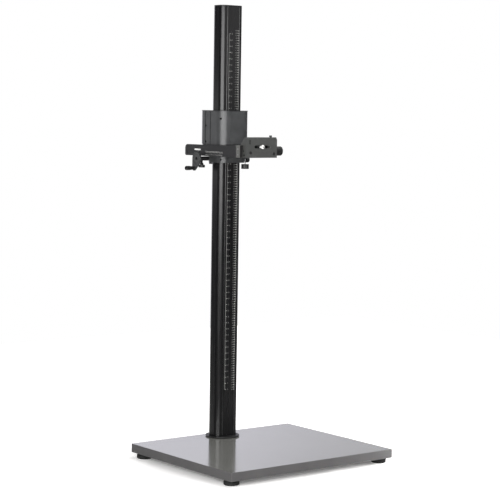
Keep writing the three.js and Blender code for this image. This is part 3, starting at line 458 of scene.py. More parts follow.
black_nylon = make_moulded("black_moulded_nylon", "#161616", "#1f1f1f", 0.45, 1500, 0.0001)
foot_rubber = make_moulded("black_rubber", "#151515", "#232322", 0.75, 600, 0.0002, 1.52)
# Painted shade: a near-black that mirrors almost nothing, for holes, seats, seams and the slot.
shade_black = make_moulded("matt_black_painted_shade", "#060606", "#0a0a0a", 0.7, 800, 0.00005, 1.2)
white_acetal = make_moulded("white_acetal", "#d6d4cc", "#dddbd4", 0.35, 300, 0.00003, 1.48)

# %% [markdown]
# Bare metals. Screws are zinc-plated steel with a faint grain from machining, the shafts and the
# height lock's cone are blackened, the camera's thread is bright nickel plate, and the bushes and
# the nut are sintered bronze, which is slightly speckled by its pores.


# %% Bare metals
def make_metal(name, dark, light, roughness, grain_size):
    grain = (grain_size, EVENLY, 3)
    limits = (roughness - 0.05, roughness + 0.08)
    relief = (0.00004, 0.25)
    return make_finish(name, (dark, light), limits, grain, (grain,), relief, {"Metallic": 1.0})


zinc_steel = make_metal("zinc_plated_steel", "#9b9c9c", "#a9aaab", 0.3, 700)
bright_nickel = make_metal("bright_nickel_plate", "#cfcfcd", "#dadad8", 0.18, 500)
sintered_bronze = make_metal("sintered_bronze", "#8f6d44", "#a27e50", 0.4, 1600)
blackened_steel = make_metal("blackened_steel", "#2c2c2d", "#363637", 0.38, 700)

# %% [markdown]
# The scales are engraved and filled with paint, and the blank plate on the rail is a strip of matt
# silver aluminium.

# %% Scale paint and blank plate
scale_paint = make_moulded("pale_scale_fill", "#b3b3b0", "#bdbdba", 0.6, 800, 0.00002)
faint_scale_paint = make_moulded("faint_scale_fill", "#747472", "#7e7e7c", 0.6, 800, 0.00002)
blank_silver = make_moulded("matt_silver_strip", "#e4e4e2", "#ececea", 0.4, 600, 0.00002)
print("materials", len(bpy.data.materials))

# %% [markdown]
# The carried-over nodes. Many pieces are hidden inside the carriage or behind the column, and
# their CAD shape is right as it is. Each of them only needs its real finish, chosen here by the
# slot that the record gives it.

# %% Finishes for the nodes that stay
finish_of_slot = {
    "laminate": board_laminate,
    "foot_rubber": foot_rubber,
    "black_anodised": column_anodised,
    "grey_painted": casting_paint,
    "dark_painted": dark_paint,
    "grey_aluminium": plate_anodised,
    "zinc_steel": zinc_steel,
    "bright_steel": bright_nickel,
    "bronze": sintered_bronze,
    "slide_plastic": white_acetal,
    "black_plastic": black_nylon,
}
slot_of_node = {s["node"]: s["material_slot"] for s in frame["record"]["subparts"]}
for node_name, node_object in nodes.items():
    node_object.data.materials.clear()
    node_object.data.materials.append(finish_of_slot[slot_of_node[node_name]])
for node_name in ("guide_rod", "shift_screw", "pinion_shaft", "arm_pinion_shaft"):
    nodes[node_name].data.materials[0] = blackened_steel
print("finished", len(slot_of_node), "nodes")

# %% [markdown]
# The baseboard is a 35 mm chipboard panel. The laminate covers its two faces and an edge band runs
# round its four sides, so the faces are told apart by their normals and given two materials. The
# corners have a 3 mm radius and the edges are eased by a millimetre. Four pockets underneath take
# the heads of the column's bolts.

# %% Baseboard
board_low, board_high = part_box("baseboard")
board = block("laminated_board", board_low, board_high, corner=3, steps=6)
POCKET_RADIUS, POCKET_DEPTH, OVERRUN = 13, 10, 4
for bolt_name in [name for name in nodes if name.startswith("column_bolt")]:
    head_low, head_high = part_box(bolt_name)
    mouth = (head_low + head_high) / 2
    mouth.z = board_low.z
    start, end = (mouth + Vector((0, 0, rise * MM)) for rise in (-OVERRUN, POCKET_DEPTH))
    cut_away(board, rod("pocket_cutter", start, end, POCKET_RADIUS))
soften(board, 1.0, 3)
board.data.materials.append(board_laminate)
board.data.materials.append(board_edging)
for face in board.data.polygons:
    face.material_index = 0 if abs(face.normal.z) > 0.8 else 1
hand_over(board, "stand", board_laminate, "laminate", "baseboard")
print(board.name, "faces", len(board.data.polygons))

# %% [markdown]
# Each foot is a moulded rubber disc with a slightly narrower neck under the board, a chamfered rim
# that stands on the table, and a deep recess for its screw. A turned profile gives all of that at once.
# The screw with its washer is a second turned piece, and both are copied to the four corners.


# %% Feet
def rounded_profile(corners, radius, steps=4):
    """Rounds the inner corners of a profile, except its first and last points."""
    points = [Vector(corners[0])]
    for before, here, after in zip(corners, corners[1:], corners[2:]):
        before, here, after = Vector(before), Vector(here), Vector(after)
        back, on = (before - here), (after - here)
        reach = min(radius, back.length / 2.2, on.length / 2.2)
        start, end = here + back.normalized() * reach, here + on.normalized() * reach
        for step in range(steps + 1):
            t = step / steps
            points.append(start * (1 - t) ** 2 + here * 2 * t * (1 - t) + end * t**2)
    points.append(Vector(corners[-1]))
    return [tuple(p) for p in points]


foot_nodes = [name for name in nodes if name.startswith("foot_")]
for foot_name in foot_nodes:
    foot_low, foot_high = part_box(foot_name)
    middle = (foot_low + foot_high) / 2
    base = Vector((middle.x, middle.y, foot_low.z))
    height = (foot_high.z - foot_low.z) / MM
    corners = [
        (3.4, 12), (11, 12), (11, 0), (27.5, 0), (31, 3.6), (31, 8.8), (30, 9.8), (31, 10.8),
        (31, height - 6.4), (26.5, height - 5), (26.5, height), (3.4, height), (3.4, 12),
    ]
    rubber = turned("rubber_" + foot_name, base, "Z", rounded_profile(corners, 1.2), 72)
    smooth(rubber, 50)
    hand_over(rubber, "stand", foot_rubber, "foot_rubber", foot_name)
    screw_corners = [
        (0, 6.5), (3, 6.5), (5.5, 7.4), (7, 9.6), (7, 10.6), (9, 10.6), (9, 11.8), (0, 11.8),
    ]
    screw = turned("screw_of_" + foot_name, base, "Z", rounded_profile(screw_corners, 0.5, 2), 32)
    cross = [
        block("slot", base + Vector((-4, -0.6, 6)) * MM, base + Vector((4, 0.6, 8.4)) * MM),
        block("slot", base + Vector((-0.6, -4, 6)) * MM, base + Vector((0.6, 4, 8.4)) * MM),
    ]
    smooth(cut_away(screw, *cross), 40)
    hand_over(screw, "stand", zinc_steel, "zinc_steel")
print("feet", len(foot_nodes))

# %% [markdown]
# The column is one extrusion of 110 by 74 mm with large corner radii. The block is beveled along
# its four long edges, and cutters make the two fine grooves that frame its front face and the deep
# channel at its back, where the toothed rack is screwed in.

# %% Column
column = block("column_extrusion", column_low, column_high, corner=24, steps=20)
GROOVES = {"across": (-29.3, 32.6), "y": -37.2, "radius": 1.7}
rack_low, rack_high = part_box("column_rack")
above, below = column_high.z / MM + 4, column_low.z / MM - 4
channel = block(
    "channel_cutter",
    Vector((rack_low.x - CLOSE_GAP, rack_low.y - CLOSE_GAP, below * MM)),
    Vector((rack_high.x + CLOSE_GAP, column_high.y + 0.004, above * MM)),
)
cut_away(column, channel)
for across in GROOVES["across"]:
    start, end = (on_column(across, GROOVES["y"], z) for z in (below, above))
    cut_away(column, rod("groove_cutter", start, end, GROOVES["radius"], 4))
soften(column, 0.35, 2, 28)
hand_over(column, "stand", column_anodised, "black_anodised", "column")
print(column.name, "faces", len(column.data.polygons))

# %% [markdown]
# The cap is a thin moulded plate that closes the column's top, with a bevelled rim. The flange at
# the foot is a turned disc, painted black, that spreads the column's load on the board. It is
# stepped underneath, so its rim stands clear of the board and casts a thin shadow.

# %% Cap and flange
cap_low, cap_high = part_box("column_cap")
cap_low.z = column_high.z + CLOSE_GAP
cap = soften(block("column_top_cap", cap_low, cap_high, corner=24, steps=20), 1.4, 4)
hand_over(cap, "stand", dark_paint, "black_plastic", "column_cap")

flange_corners = [(0, -0.8), (58, -0.8), (60, 2.7), (71, 2.7), (71, 6), (0, 6)]
flange = turned("foot_flange", on_column(0, 0, 0), "Z", rounded_profile(flange_corners, 1.4, 4), 96)
smooth(flange, 40)
hand_over(flange, "stand", dark_paint, "black_anodised", "column_flange")

# %% [markdown]
# The engraved scales. On the front face a centimetre scale runs along the right groove and an inch
# scale along a fine line on the left. One tick is a thin plate, an Array modifier repeats it at the
# real pitch, and one text object with evenly spaced lines holds all the numbers of a scale. The
# paint stands a few hundredths of a millimetre proud, so it never fights with the metal for the
# same place.

# %% Ticks
SCALE_FRONT = -37.0
cm_first, cm_last = 20, 169


def tick_row(name, left, right, first_height, pitch, count, thickness):
    low = on_column(left, SCALE_FRONT - 0.06, first_height - thickness / 2)
    high = on_column(right, SCALE_FRONT + 0.2, first_height + thickness / 2)
    row = block(name, low, high)
    apply_modifier(
        row,
        "ARRAY",
        count=count,
        use_relative_offset=False,
        use_constant_offset=True,
        constant_offset_displace=(0, 0, pitch * MM),
    )
    return row


cm_steps = cm_last - cm_first
cm_ticks = tick_row("centimetre_ticks", 22.5, 30.8, cm_first * 10, 10, cm_steps + 1, 1.3)
half_cm_ticks = tick_row("half_centimetre_ticks", 26, 30.8, cm_first * 10 + 5, 10, cm_steps, 0.6)
mm_ticks = tick_row("millimetre_ticks", 28, 30.8, cm_first * 10, 1, cm_steps * 10 + 1, 0.2)
hand_over(cm_ticks, "stand", scale_paint, "black_anodised")
hand_over(join(half_cm_ticks, mm_ticks), "stand", faint_scale_paint, "black_anodised")

INCH = 25.4
inch_first, inch_last = 8, 66
inch_steps, inch_start = inch_last - inch_first, inch_first * INCH
inch_ticks = tick_row("inch_ticks", -18.6, -12, inch_start, INCH, inch_steps + 1, 1.3)
quarters = inch_steps * 4 + 1
quarter_ticks = tick_row("quarter_inch_ticks", -18.6, -14.5, inch_start, INCH / 4, quarters, 0.4)
scale_line = block(
    "inch_scale_line",
    on_column(-20.4, SCALE_FRONT - 0.05, inch_first * INCH),
    on_column(-19.0, SCALE_FRONT + 0.2, inch_last * INCH),
)
hand_over(inch_ticks, "stand", scale_paint, "black_anodised")
hand_over(join(quarter_ticks, scale_line), "stand", faint_scale_paint, "black_anodised")
print("ticks", cm_steps + 1, "cm and", inch_steps + 1, "inch")


# %% Numbers
def lettering(name, body, size, **settings):
    """A line or lines of text as a thin mesh that still lies flat."""
    data = bpy.data.curves.new(name, "FONT")
    data.body, data.size, data.extrude = body, size, 0.00004
    for key, value in settings.items():
        setattr(data, key, value)
    piece = bpy.data.objects.new(name, data)
    bpy.context.scene.collection.objects.link(piece)
    make_active(piece)
    bpy.ops.object.convert(target="MESH")
    return bpy.context.object


CAPITAL_SHARE = 0.7


def number_column(name, values, pitch, letter_height, right_edge, first_height):
    """One text object whose lines fall on a scale's pitch, from the highest value down."""
    body = "\n".join(str(v) for v in reversed(values))
    size = letter_height * MM / CAPITAL_SHARE
    spacing = pitch * MM / size
    piece = lettering(name, body, size, space_line=spacing, align_x="RIGHT", resolution_u=2)
    piece.rotation_euler = (math.radians(90), 0, 0)
    piece.location = on_column(right_edge, SCALE_FRONT - 0.02, first_height)
    return settle(piece, name)


cm_values = list(range(cm_first, cm_last + 1))
top_cm = cm_last * 10 - 2.1
cm_numbers = number_column("centimetre_numbers", cm_values, 10, 4.2, 20.5, top_cm)
hand_over(cm_numbers, "stand", faint_scale_paint, "black_anodised")
inch_values = list(range(inch_first, inch_last + 1))
top_inch = inch_last * INCH - 2.6
inch_numbers = number_column("inch_numbers", inch_values, INCH, 5.2, -1.5, top_inch)
hand_over(inch_numbers, "stand", faint_scale_paint, "black_anodised")
for numbers in (cm_numbers, inch_numbers):
    heights = [v.co.z for v in numbers.data.vertices]
    print(numbers.name, "from", round(min(heights), 3), "to", round(max(heights), 3))

# %% [markdown]
# The carriage casting grips the column below and behind the shells. Its CAD copy already has the
# collar, the band between the rails, the gear case and the bosses. Welding the copy's triangles
# gives back whole faces, and a narrow bevel rounds the cast edges.

# %% Carriage casting
casting = refined("carriage_casting", "carriage_cast_body")
UNDER_CASE = (on_carriage(-40, 60, -16), on_carriage(40, 110, -8.6))
cut_away(casting, block("case_cutter", *UNDER_CASE))
soften(casting, 0.8, 2)
hand_over(casting, "carriage", casting_paint, "grey_painted", "carriage_casting")
print(casting.name, "faces", len(casting.data.polygons))

# %% [markdown]
# The housing is a front and a rear shell over the casting, with dark joints at the side strips. A
# block with 43 mm corners loses its top and bottom, a Bisect keeps the stretch that the shell
# covers, and Solidify gives the wall its thickness inwards. The front shell also has a small
# access hole to the guide adjuster in its left corner, and a shallow seat for the front plate.

# %% Housing shells
SHELL = {"front": -72, "back": 98, "half": 75, "corner": 43, "wall": 3.5}
strip_ends = [(end.y / MM - AXIS_Y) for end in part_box("housing_side_strip_left")]
SEAMS = (strip_ends[0] - 0.5, strip_ends[1] + 0.5)
SEAM = 4.4
SHADOW_GAP = 2.6
shell_low_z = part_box("housing_front_shell")[0].z / MM - CARRIAGE_Z + SHADOW_GAP
shell_high_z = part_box("housing_front_shell")[1].z / MM - CARRIAGE_Z


def shell(name, keep_from, keep_to):
    low = on_carriage(-SHELL["half"], SHELL["front"], shell_low_z)
    high = on_carriage(SHELL["half"], SHELL["back"], shell_high_z)
    piece = block(name, low, high, corner=SHELL["corner"], steps=24)
    pick(piece, "faces", lambda centre, normal: abs(normal.z) > 0.9)
    with editing(piece):
        bpy.ops.mesh.delete(type="FACE")
        for limit, clear_inner in ((keep_from, True), (keep_to, False)):
            if limit is None:
                continue
            bpy.ops.mesh.select_all(action="SELECT")
            bpy.ops.mesh.bisect(
                plane_co=on_carriage(0, limit, 0),
                plane_no=(0, 1, 0),
                clear_inner=clear_inner,
                clear_outer=not clear_inner,
            )
    apply_modifier(piece, "SOLIDIFY", thickness=SHELL["wall"] * MM, offset=-1, use_even_offset=True)
    return piece


front_shell = shell("housing_front_cover", None, SEAMS[0] - SEAM / 2)
adjuster_turn = math.radians(180 + 32)
adjuster_way = Vector((math.cos(adjuster_turn), math.sin(adjuster_turn), 0))
adjuster_height = sum(end.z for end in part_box("guide_adjuster")) / 2 / MM - CARRIAGE_Z
corner_x, corner_y = SHELL["corner"] - SHELL["half"], SHELL["corner"] + SHELL["front"]
corner_axis = on_carriage(corner_x, corner_y, adjuster_height)
hole_start, hole_end = (corner_axis + adjuster_way * reach for reach in (0.03, 0.048))
hole = rod("hole_cutter", hole_start, hole_end, 4.8, 40)
plate_low, plate_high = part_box("housing_face_plate")
seat_low = plate_low - Vector((CLOSE_GAP, 0.01, 0.01))
seat_high = plate_high + Vector((CLOSE_GAP, CLOSE_GAP, 0.01))
seat = block("seat_cutter", seat_low, seat_high)
cut_away(front_shell, hole, seat)
soften(front_shell, 0.5, 2, 40)
hand_over(front_shell, "carriage", housing_paint, "grey_painted", "housing_front_shell")

rear_shell = soften(shell("housing_rear_cover", SEAMS[1] + SEAM / 2, None), 0.5, 2, 40)
hand_over(rear_shell, "carriage", housing_paint, "grey_painted", "housing_rear_shell")
print(front_shell.name, len(front_shell.data.polygons), rear_shell.name, len(rear_shell.data.polygons))

# %% [markdown]
# A black seal lies in each of the four seams, sunk two millimetres below the shells' faces, and its
# near-black is partly painted shade, so the joint shows as a dark line. Behind the access hole sits
# the set screw that presses the guide on the column: a short rod with a hexagon socket, coloured
# near-black as painted shade of the hole.

# %% Seals in the seams and the guide's set screw
SEAL = {"inner": 3.2, "outer": 2.0, "half_width": 3.8, "end_gap": 1}
for side, where in ((-1, "left"), (1, "right")):
    for seam_number, seam_at in enumerate(SEAMS):
        edges_x = sorted(side * (SHELL["half"] - SEAL[edge]) for edge in ("inner", "outer"))
        low_place = (edges_x[0], seam_at - SEAL["half_width"], shell_low_z + SEAL["end_gap"])
        high_place = (edges_x[1], seam_at + SEAL["half_width"], shell_high_z - SEAL["end_gap"])
        dark_strip_low, dark_strip_high = on_carriage(*low_place), on_carriage(*high_place)
        # Partly painted shade: the seal's near-black darkens the joint.
        seal = soften(block(f"seam_seal_{where}_{seam_number}", dark_strip_low, dark_strip_high), 0.3, 2)
        hand_over(seal, "carriage", shade_black, "black_plastic")

set_screw_out = corner_axis + adjuster_way * 0.0415
set_screw = rod("guide_set_screw", corner_axis + adjuster_way * 0.0185, set_screw_out, 4.6, 40)
socket_start, socket_end = (set_screw_out + adjuster_way * reach for reach in (-0.005, 0.001))
socket = rod("socket_cutter", socket_start, socket_end, 2.6, 6)
soften(cut_away(set_screw, socket), 0.3, 2, 40)
# Painted shade: the zinc-plated set screw is coloured near-black so that its hole reads dark.
hand_over(set_screw, "carriage", shade_black, "zinc_steel", "guide_adjuster")

# %% [markdown]
# The flat strips between the shells, the front plate and the lid are pressed or milled plates. The
# front plate's upper corners are rounded. The lid is cut out round the column with a close gap, and
# small socket screws hold the strips at their rear edge; their heads are near-black, painted shade
# of their seats.

# %% Strips, front plate and lid
STRIP_SCREWS = {"y": 42.5, "heights": (86, 152), "seat": 3.0}
for side in ("left", "right"):
    strip_low, strip_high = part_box("housing_side_strip_" + side)
    out = Vector((1 if side == "right" else -1, 0, 0))
    strip_low.y = on_carriage(0, SEAMS[0] + SEAM / 2, 0).y
    strip_high.y = on_carriage(0, SEAMS[1] - SEAM / 2, 0).y
    strip_low.z += SHADOW_GAP * MM
    strip = block("side_strip_" + side, strip_low, strip_high)
    face = on_carriage(out.x * SHELL["half"], STRIP_SCREWS["y"], 0)
    for height in STRIP_SCREWS["heights"]:
        at = face + Vector((0, 0, height * MM))
        seat_start = at - out * STRIP_SCREWS["seat"] * MM
        cut_away(strip, rod("seat_cutter", seat_start, at + out * 0.002, 4.6, 40))
    soften(strip, 0.5, 2)
    hand_over(strip, "carriage", housing_paint, "grey_painted", "housing_side_strip_" + side)

front_plate = block("housing_front_plate", plate_low + Vector((0, 0, SHADOW_GAP * MM)), plate_high)
pick(
    front_plate,
    "edges",
    lambda a, b: abs(a.z - b.z) < 1e-6 and abs(a.x - b.x) < 1e-6 and a.z > plate_high.z - 1e-4,
)
with editing(front_plate):
    bpy.ops.mesh.bevel(offset=5 * MM, segments=8, affect="EDGES")
soften(front_plate, 0.5, 2, 40)
hand_over(front_plate, "carriage", housing_paint, "grey_painted", "housing_face_plate")

lid_low, lid_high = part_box("housing_lid")
lid = block("housing_top_lid", lid_low, lid_high, corner=44.5, steps=24)
opening_low = column_low - Vector((0.0012, 0.0012, 0))
opening_high = column_high + Vector((0.0012, 0.0012, 0))
opening_low.z, opening_high.z = lid_low.z - 0.004, lid_high.z + 0.004
cut_away(lid, block("opening_cutter", opening_low, opening_high, corner=25.2, steps=20))
soften(lid, 0.6, 2, 40)
hand_over(lid, "carriage", dark_paint, "dark_painted", "housing_lid")


# %% Socket screws
def socket_screw(name, seat_place, out, radius, height, body, material):
    """A cap screw with a hexagon socket; out is the way that its head faces."""
    head = rod(name, seat_place, seat_place + out * height * MM, radius, 40)
    top = seat_place + out * height * MM
    socket = rod("socket_cutter", top - out * height * 0.6 * MM, top + out * MM, radius * 0.5, 6)
    soften(cut_away(head, socket), min(0.3, height * 0.2), 2, 40)
    slot = "zinc_steel" if material is zinc_steel else "black_plastic"
    return hand_over(head, body, material, slot)


screw_count = 0
for side in (-1, 1):
    out = Vector((side, 0, 0))
    for number, height in enumerate(STRIP_SCREWS["heights"]):
        name = f"strip_screw_{'left' if side < 0 else 'right'}_{number}"
        seat_x = side * (SHELL["half"] - STRIP_SCREWS["seat"])
        seat_place = on_carriage(seat_x, STRIP_SCREWS["y"], height)
        # Painted shade: the heads are near-black so that their seats read dark.
        socket_screw(name, seat_place, out, 4.2, 1.2, "carriage", shade_black)
        screw_count += 1
print("strip screws", screw_count)

# %% [markdown]
# The arm is a frame of two flat bars that ride on the carriage's slide strips. The CAD copies have
# the groove and the rounded rear ends, and the bevel gives their edges the thin light line that a
# machined bar shows. The front beam ties the bars together and carries the camera plate's guide
# rod, and the bridge ties them at the back.

# %% Arm bars, beam and bridge
BAR_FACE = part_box("arm_rail_left")[0].x / MM
for side in ("left", "right"):
    bar = refined("arm_rail_" + side, "arm_bar_" + side, 0.9, 3)
    hand_over(bar, "arm", rail_anodised, "black_anodised", "arm_rail_" + side)
beam = refined("arm_front_beam", "arm_front_block", 0.7, 2)
hand_over(beam, "arm", beam_anodised, "grey_aluminium", "arm_front_beam")
# Painted shade: a thin black strip at the beam's left end stands in for the shade of the gap there.
dark_strip_low, dark_strip_high = on_carriage(BAR_FACE + 0.6, -212.4, 27), on_carriage(BAR_FACE + 14, -210.8, 75)
beam_gap_shade = block("beam_gap_painted_shade", dark_strip_low, dark_strip_high)
hand_over(soften(beam_gap_shade, 0.2, 2), "arm", foot_rubber, "black_plastic")
bridge = refined("arm_rear_bridge", "arm_rear_plate", 1.0, 3)
hand_over(bridge, "arm", rail_anodised, "dark_painted", "arm_rear_bridge")

# %% [markdown]
# On the left bar's outer face are a bare silver plate and a small scale that shows how far the arm
# is out. The scale is a fine line, with a tick that hangs from it for each half centimetre and
# numbers below. Cap screws show at the bars' ends, where the beam and the bridge are bolted on.

# %% Plate, scale and screws on the bars
def on_bar(name, back_from, back_to, low_z, high_z, proud=0.06):
    low = on_carriage(BAR_FACE - proud, back_from, low_z)
    high = on_carriage(BAR_FACE + 0.2, back_to, high_z)
    return block(name, low, high)


blank = soften(on_bar("blank_plate", 56, 99, 49, 55.5, 0.5), 0.2, 2)
hand_over(blank, "arm", blank_silver, "grey_aluminium")
scale_from, scale_to, scale_low, scale_high = -97, 24, 29.5, 46.5
lines = [on_bar("bar_scale", scale_from, scale_to, scale_high - 0.4, scale_high)]
for step in range(24):
    at = scale_from + 3 + step * 5
    tick_low = scale_high - (7 if step % 2 == 0 else 4)
    lines.append(on_bar("tick", at - 0.6, at + 0.6, tick_low, scale_high))
bar_scale = join(*lines)
hand_over(bar_scale, "arm", scale_paint, "black_anodised")

bar_numbers = lettering("bar_numbers", "   ".join(str(v) for v in range(12)), 5.6 * MM)
span = max(v.co.x for v in bar_numbers.data.vertices)
bar_numbers.scale = ((scale_to - scale_from - 8) * MM / span, 1, 1)
bar_numbers.rotation_euler = (math.radians(90), 0, math.radians(-90))
bar_numbers.location = on_carriage(BAR_FACE - 0.02, scale_to - 4, scale_low + 1)
settle(bar_numbers, "bar_numbers")
hand_over(bar_numbers, "arm", scale_paint, "black_anodised")

BAR_SCREWS = (("front", -199, 0, zinc_steel), ("rear", 152, 1, black_nylon))
for side, where in ((-1, "left"), (1, "right")):
    for height in (38, 61):
        for end, y, rise, material in BAR_SCREWS:
            seat_place = on_carriage(-side * BAR_FACE, y, height + rise)
            name = f"bar_{end}_screw_{where}_{height}"
            socket_screw(name, seat_place, Vector((side, 0, 0)), 3.2, 0.9, "arm", material)

# %% [markdown]
# The camera plate is a milled block with a bevelled top edge and a long slot. It is the piece that
# the eye goes to, so it keeps crisp edges with a very narrow bevel. Two cap screws and a short
# black index sit on its face.

# %% Camera plate
camera_plate = refined("camera_plate", "camera_mount_plate", 0.6, 3)
hand_over(camera_plate, "cross_slide", plate_anodised, "grey_aluminium", "camera_plate")
PLATE_FRONT = -240.0
for x, z in ((-57, 46), (62, 42)):
    seat_place = on_carriage(x, PLATE_FRONT + 0.3, z)
    name = f"plate_screw_{'left' if x < 0 else 'right'}"
    socket_screw(name, seat_place, Vector((0, -1, 0)), 6.2, 0.9, "cross_slide", black_nylon)
index_low = on_carriage(-64, PLATE_FRONT - 0.06, 81)
index = block("plate_index", index_low, on_carriage(-57.5, PLATE_FRONT + 0.2, 98))
index_foot = block("index_foot", index_low, on_carriage(-55.5, PLATE_FRONT + 0.2, 83))
hand_over(join(index, index_foot), "cross_slide", black_nylon, "black_plastic")

# %% [markdown]
# The camera screw sits in a black sliding block. Its bright collar and a small bright pin show in
# the slot, two thin near-black sheets behind them are painted shade that darkens the slot, and the
# thread sticks out towards the camera. The thread is a stack of fine rings in the turned profile: at
# this size nobody can see that they do not climb.

# %% Camera screw and slider
slider = refined("screw_slider", "camera_screw_block", 0.3, 2)
hand_over(slider, "slider", black_nylon, "black_anodised", "screw_slider")
slider_low, slider_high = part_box("screw_slider")
slot_z = (slider_low.z + slider_high.z) / 2 / MM - CARRIAGE_Z
slider_face = slider_low.y / MM - AXIS_Y
boss = turned(
    "camera_screw_collar", on_carriage(5, slider_face - 1.6, slot_z), "Y",
    rounded_profile([(3.4, 0), (7.6, 0), (8.4, 0.8), (8.4, 2.2), (3.4, 2.2), (3.4, 0)], 0.3, 2), 64,
)
smooth(boss, 40)
hand_over(boss, "slider", blank_silver, "bright_steel")
pin_low = on_carriage(-9.9, slider_face - 1.4, slot_z - 4.9)
pin_high = on_carriage(-6.3, slider_face + 1, slot_z + 4.9)
guide_pin = block("slider_guide_pin", pin_low, pin_high, 1.6, "Y", 6)
hand_over(soften(guide_pin, 0.4, 3), "slider", blank_silver, "bright_steel")
wings = []
for wing_name, left, right in (("slot_painted_shade", -38, -16), ("slot_painted_shade_right", 26, 37)):
    wing_low = on_carriage(left, slider_face + 11.5, slot_z - 8)
    wing_high = on_carriage(right, slider_face + 12.7, slot_z + 8)
    wings.append(block(wing_name, wing_low, wing_high))
# Painted shade: near-black sheets behind the slot stand in for the shade inside it.
slot_shade_sheet = join(*wings)
hand_over(soften(slot_shade_sheet, 0.2, 2), "slider", shade_black, "black_plastic")

screw_low, screw_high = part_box("camera_screw")
screw_axis = (screw_low + screw_high) / 2
screw_axis.y = screw_low.y
length = (screw_high.y - screw_low.y) / MM
profile = [(0, 0), (2.2, 0)]
at = 0.6
while at < 12:
    profile += [(2.55, at), (3.17, at + 0.6)]
    at += 1.27
profile += [(3.17, length), (0, length)]
thread = turned("camera_screw_thread", screw_axis, "Y", profile, 40)
smooth(thread, 30)
hand_over(thread, "camera_screw", bright_nickel, "bright_steel", "camera_screw")

# %% [markdown]
# Knobs. All of them are moulded grips with shallow flutes for the fingers. A turned body gets its
# flutes from a ring of thin rods cut away at the rim, and its edges are rounded afterwards. The
# sideways knob at the right end has a fine straight knurl instead: every second face of its rim is
# pressed in by 0.6 mm.


# %% Knobs
FLUTES = 8


def grip_knob(name, centre, along, radius, thickness, flute_radius, dish):
    axis = DIRECTIONS[along]
    outline = [
        (0, dish), (radius * 0.55, dish), (radius * 0.68, 0), (radius - 1, 0), (radius, 1.2),
        (radius, thickness - 1.2), (radius - 1.2, thickness), (radius * 0.6, thickness), (0, thickness),
    ]
    knob = turned(name, centre, along, rounded_profile(outline, 0.9, 3), 96)
    side = DIRECTIONS["X" if along != "X" else "Y"]
    cutters = []
    for flute in range(FLUTES):
        turn_by = Matrix.Rotation(2 * math.pi * (flute + 0.5) / FLUTES, 3, axis)
        at = centre + (turn_by @ side) * (radius + flute_radius * 0.62) * MM
        start, end = at - axis * 0.004, at + axis * (thickness + 4) * MM
        cutters.append(rod("flute_cutter", start, end, flute_radius, 24))
    cut_away(knob, *cutters)
    return smooth(knob, 34)


def low_end(node, along):
    """The middle of a node's lower end, and the node's length in millimetres."""
    low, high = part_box(node)
    place = (low + high) / 2
    way = "XYZ".index(along)
    place[way] = low[way]
    return place, (high[way] - low[way]) / MM


GRIPS = (
    ("height_lock_grip", "lift_lock", "lift_lock_knob", "Z", (13.4, 11, 3, 1.2)),
    ("arm_lock_grip", "arm_lock", "arm_lock_knob", "Z", (15.9, 20, 3.5, 1.2)),
    ("arm_drive_grip", "arm_drive", "arm_drive_knob", "X", (12.9, 14, 3, 0.4)),
    ("camera_screw_grip", "camera_screw", "camera_screw_knob", "Y", (10.9, 18, 2.6, 0.4)),
)
for name, body, node, along, sizes in GRIPS:
    grip = grip_knob(name, low_end(node, along)[0], along, *sizes)
    hand_over(grip, body, black_nylon, "black_plastic", node)

# %% Knurled knob and the small knob on top
low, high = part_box("shift_knob")
start, knurl_length = low_end("shift_knob", "X")
knurled = rod("side_shift_grip", start, start + Vector((knurl_length * MM, 0, 0)), 19, 120)
rim = [face.index for face in knurled.data.polygons if abs(face.normal.x) < 0.5]
pick(knurled, "faces", lambda centre, normal: False)
for face_index in rim[::2]:
    knurled.data.polygons[face_index].select = True
with editing(knurled):
    bpy.ops.mesh.inset(thickness=0.00012, depth=-0.0006, use_individual=True)
pick(knurled, "faces", lambda centre, normal: abs(normal.x) > 0.9 and abs(centre.x - high.x) < 1e-5)
with editing(knurled):
    bpy.ops.mesh.inset(thickness=0.0024)
    bpy.ops.mesh.inset(thickness=0.0012, depth=0.0)
    bpy.ops.mesh.extrude_region_move(TRANSFORM_OT_translate={"value": (-0.0016, 0, 0)})
soften(knurled, 0.25, 2, 50)
hand_over(knurled, "shift_drive", black_nylon, "black_plastic", "shift_knob")

stem_base = low_end("top_knob", "Z")[0]
outline = [(0, 0), (1.8, 0), (1.8, 9.4), (5.6, 9.4), (5.6, 15.4), (4.4, 16.6), (0, 16.6)]
small_knob = turned("plate_top_grip", stem_base, "Z", rounded_profile(outline, 0.6, 3), 40)
smooth(small_knob, 40)
hand_over(small_knob, "plate_knob", black_nylon, "black_plastic", "top_knob")
print("knobs done")

# %% [markdown]
# Stems. The two lock knobs hang on screws. The height lock's screw is blackened and has a wide
# cone above the knob, which clamps the shaft's sleeve. The arm lock's is a thin zinc-plated rod.

# %% Lock screws
base, length = low_end("lift_lock_screw", "Z")
outline = [(0, 0), (7.5, 0), (7.5, 4), (4, 9), (4, length), (0, length)]
cone_screw = turned("height_lock_stem", base, "Z", rounded_profile(outline, 0.8, 3), 48)
smooth(cone_screw, 35)
hand_over(cone_screw, "lift_lock", blackened_steel, "zinc_steel", "lift_lock_screw")

base, length = low_end("arm_lock_screw", "Z")
outline = [(0, 0), (2, 0), (2, length - 0.6), (1.6, length), (0, length)]
plain_screw = turned("arm_lock_stem", base, "Z", rounded_profile(outline, 0.4, 2), 40)
smooth(plain_screw, 35)
hand_over(plain_screw, "arm_lock", zinc_steel, "zinc_steel", "arm_lock_screw")

# %% [markdown]
# The crank. Its arm is a disc that narrows to the handle: two discs joined by a convex hull give
# exactly that outline with straight flanks. A turned boss sits on the hub. The handle is a barrel
# that swells towards its free end and turns on a blackened pin.

# %% Crank arm and boss
CRANK = {"face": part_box("crank_arm")[0].x / MM, "thick": 7.0, "hub": 28.0, "tip": 11.0}


